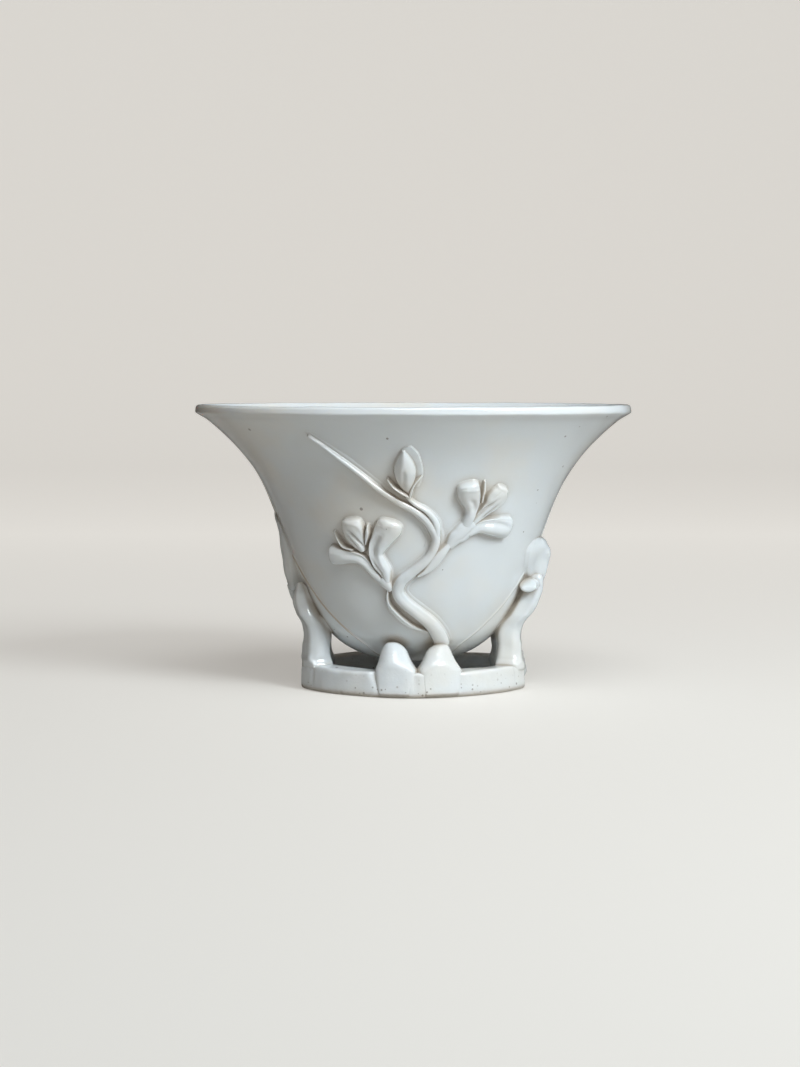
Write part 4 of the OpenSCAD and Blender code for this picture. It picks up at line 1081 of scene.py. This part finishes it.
class CUP_OT_right_flower(Operator):
    """Make the magnolia's right flower"""

    bl_idname = "cup.make_right_flower"
    bl_label = "Right flower"

    def execute(self, context):
        cup = Cup(context.scene.cup_sizes)
        petal(cup, "right_flower_neck", RIGHT_NECK, (
            (-0.2, 0.3, [(0.2, 0.3), (0.6, 0.35), (1, 0.3)]),
        ), seed=75)
        petal(cup, "right_petal_cupped", RIGHT_CUPPED, (
            (-0.5, 0.75, [(0.3, 0.35), (0.46, 0.2), (0.6, 0.05), (0.72, -0.1)]),
            (0.2, 0.5, [(0.98, -0.75), (0.98, -0.2), (0.95, 0.3), (0.87, 0.8)]),
            (-0.2, 0.2, [(1.0, -0.9), (1.03, -0.6), (1.04, -0.3)]),
        ), ends=(0.6, 0.5), seed=76)
        petal(cup, "right_petal_middle", RIGHT_MIDDLE, body=0.5, ends=(0.8, 0.8), seed=77)
        petal(cup, "right_petal_folded", RIGHT_FOLDED, (
            (-0.5, 0.3, [(0.15, -0.75), (0.38, -0.55), (0.58, -0.34), (0.8, -0.05)]),
            (-0.4, 0.24, [(0.15, 0.45), (0.35, 0.35), (0.55, 0.28), (0.74, 0.34)]),
            (-0.2, 0.22, [(0.7, -0.6), (0.86, -0.45), (0.98, -0.4)]),
            (0.2, 0.35, [(0.62, 0.85), (0.9, 0.7), (1.03, 0.2)]),
        ), ends=(0.6, 0.55), seed=78)
        petal(cup, "right_petal_lower", RIGHT_LOWER, (
            (0.36, 0.3, [(0.02, -0.76), (0.2, -0.86), (0.36, -0.9), (0.5, -0.9), (0.73, -0.88), (0.95, -0.84)]),
            (-0.55, 0.75, [(0.16, -0.3), (0.34, -0.4), (0.5, -0.42), (0.77, -0.34), (1.0, -0.16)]),
            (0.15, 0.8, [(0.3, 0.45), (0.6, 0.5), (0.95, 0.45)]),
        ), ends=(0.6, 0.6), seed=79)
        return {"FINISHED"}


class CUP_OT_plum(Operator):
    """Make the plum branch, its twigs, blossoms and buds on the back"""

    bl_idname = "cup.make_plum"
    bl_label = "Plum spray"

    def execute(self, context):
        cup = Cup(context.scene.cup_sizes)
        width, rise = cup.branch_width, cup.branch_rise
        root = cup.above(TRUNK_BACK_LEFT, cup.trunk_rise, PLUM_ROOT, width)
        twig(cup, "plum_branch", root + PLUM_BRANCH, width, rise, (
            (-0.2, 0.3, [(0.05, 0.3), (0.3, 0.2), (0.5, 0.35)]),
            (0.3, 0.6, [(0.42, -0.1), (0.45, 0.2)]), (0.3, 0.55, [(0.66, -0.2), (0.69, 0.2)]),
        ), body=0.4, wobble=0.12, seed=80)
        twig(cup, "plum_twig_up", PLUM_TWIG_UP, width, rise, body=0.4, seed=81)
        twig(cup, "plum_twig_down", PLUM_TWIG_DOWN, width, rise, body=0.4, seed=82)
        for seed, (node, place) in enumerate(PLUM_BLOSSOM_PLACES.items()):
            grid = blossom_grid(cup, place, 0.4 + 0.9 * seed)
            skin("relief_" + node, grid, "relief_glaze", [node])
        half = cup.blossom_width / 2 * 0.45
        for number, place in enumerate(PLUM_BUD_PLACES):
            rows = [[r[0] + place[0], r[1] + place[1], r[2], r[3]] for r in PLUM_BUD]
            split = (-0.3, 0.25, [(0.0, 0.0), (0.5, 0.1), (1.0, 0.0)])
            grid = strip(cup, rows, half, cup.blossom_rise, (split,), seed=85 + number)
            skin("relief_plum_bud_%d" % (number + 1), grid, "relief_glaze", ["plum_buds"])
        return {"FINISHED"}


def stage_mesh(name, points, faces):
    """A plain stage object from points in metres."""
    mesh = bpy.data.meshes.new(name)
    mesh.from_pydata(points, [], faces)
    for face in mesh.polygons:
        face.use_smooth = True
    made = bpy.data.objects.new(name, mesh)
    bpy.context.scene.collection.objects.link(made)
    return made


class CUP_OT_stage(Operator):
    """Lay the floor with its curved backdrop, hang the lamps and set up the camera"""

    bl_idname = "cup.make_stage"
    bl_label = "Floor, lamps and camera"

    def execute(self, context):
        look = context.scene.cup_stage
        bend = np.radians(np.linspace(0, 90, 24))
        y = np.concatenate([[-2.5], 1.4 + 0.5 * np.sin(bend), [1.9]])
        z = np.concatenate([[0], 0.5 - 0.5 * np.cos(bend), [2.6]])
        x = np.array([-3.0, 3.0])
        points = np.stack([np.repeat(x, len(y)), np.tile(y, 2), np.tile(z, 2)], axis=-1)
        faces = [(i, i + len(y), i + 1 + len(y), i + 1) for i in range(len(y) - 1)]
        floor = stage_mesh("floor", points.tolist(), faces)
        paint = bpy.data.materials.new("floor_paint")
        paint.use_nodes = True
        shader = paint.node_tree.nodes["Principled BSDF"]
        shader.inputs["Base Color"].default_value = (*(0.72 * c for c in look.floor), 1)
        shader.inputs["Roughness"].default_value = 0.8
        shader.inputs["Emission Color"].default_value = (*look.floor, 1)
        new, link = paint.node_tree.nodes.new, paint.node_tree.links.new
        seen, far, place = new("ShaderNodeLightPath"), new("ShaderNodeMapRange"), new("ShaderNodeSeparateXYZ")
        link(new("ShaderNodeTexCoord").outputs["Object"], place.inputs[0])
        link(place.outputs["Y"], far.inputs["Value"])
        for key, number in (("From Min", -0.35), ("From Max", 0.55), ("To Min", 0.28), ("To Max", 0.82)):
            far.inputs[key].default_value = number
        glow = new("ShaderNodeMath")
        glow.operation = "MULTIPLY"
        link(seen.outputs["Is Camera Ray"], glow.inputs[0])
        link(far.outputs["Result"], glow.inputs[1])
        link(glow.outputs["Value"], shader.inputs["Emission Strength"])
        floor.data.materials.append(paint)

        warm = (1, 0.77, 0.58)
        for name, power, size, tint, place in (
                ("key_lamp", look.key_power, 0.28, (0.89, 0.96, 1), (0.47, -0.5, 0.47)),
                ("top_lamp", look.top_power, 0.45, (0.94, 0.975, 1), (0.08, -0.42, 0.75)),
                ("fill_lamp", look.fill_power, 0.6, warm, (-0.55, -0.5, 0.3))):
            lamp = bpy.data.lights.new(name, "AREA")
            lamp.energy, lamp.size, lamp.color = power, size, tint
            hung = bpy.data.objects.new(name, lamp)
            hung.location = place
            aim = np.array([0, 0, 0.04]) - np.array(place)
            flat = math.hypot(aim[0], aim[1])
            hung.rotation_euler = (math.atan2(flat, -aim[2]), 0, math.atan2(-aim[0], aim[1]))
            context.scene.collection.objects.link(hung)

        world = bpy.data.worlds.new("sky")
        world.use_nodes = True
        world.node_tree.nodes["Background"].inputs["Color"].default_value = (*warm, 1)
        world.node_tree.nodes["Background"].inputs["Strength"].default_value = 0.08
        context.scene.world = world

        lens = bpy.data.cameras.new("camera")
        lens.lens, lens.sensor_width = 70.85, 36
        lens.clip_start = 0.02
        eye = bpy.data.objects.new("camera", lens)
        eye.location = (-0.00355, -0.57207, 0.0847)
        eye.rotation_euler = (math.radians(90 - 4.289), 0, 0)
        context.scene.collection.objects.link(eye)
        context.scene.camera = eye
        context.scene.view_settings.view_transform = "Standard"
        return {"FINISHED"}


class CUP_PT_panel(Panel):
    """Buttons for the cup's pieces and stage"""

    bl_idname = "CUP_PT_panel"
    bl_label = "Porcelain cup"
    bl_space_type = "VIEW_3D"
    bl_region_type = "UI"
    bl_category = "Cup"

    def draw(self, context):
        for group in ("cup_sizes", "cup_glaze", "cup_stage"):
            box = self.layout.box()
            settings = getattr(context.scene, group)
            for key in settings.bl_rna.properties.keys():
                if key not in ("rna_type", "name"):
                    box.prop(settings, key)
        for maker in MAKERS:
            self.layout.operator(maker.bl_idname)


SETTINGS = {"cup_sizes": CupSizes, "cup_glaze": CupGlaze, "cup_stage": CupStage}
MAKERS = (
    CUP_OT_stage, CUP_OT_bowl, CUP_OT_ring, CUP_OT_rocks, CUP_OT_trunks, CUP_OT_side_bud, CUP_OT_stem,
    CUP_OT_bud, CUP_OT_left_flower, CUP_OT_right_flower, CUP_OT_plum,
)


def register():
    for kind in (*SETTINGS.values(), *MAKERS, CUP_PT_panel):
        bpy.utils.register_class(kind)
    for key, kind in SETTINGS.items():
        setattr(bpy.types.Scene, key, PointerProperty(type=kind))


def unregister():
    for key in SETTINGS:
        delattr(bpy.types.Scene, key)
    for kind in reversed((*SETTINGS.values(), *MAKERS, CUP_PT_panel)):
        bpy.utils.unregister_class(kind)


def main():
    register()
    bpy.ops.cup.make_stage()
    bpy.ops.cup.make_bowl()
    bpy.ops.cup.make_ring()
    bpy.ops.cup.make_rocks()
    bpy.ops.cup.make_trunks()
    bpy.ops.cup.make_side_bud()
    bpy.ops.cup.make_magnolia_stem()
    bpy.ops.cup.make_magnolia_bud()
    bpy.ops.cup.make_left_flower()
    bpy.ops.cup.make_right_flower()
    bpy.ops.cup.make_plum()


if __name__ == "__main__":
    main()
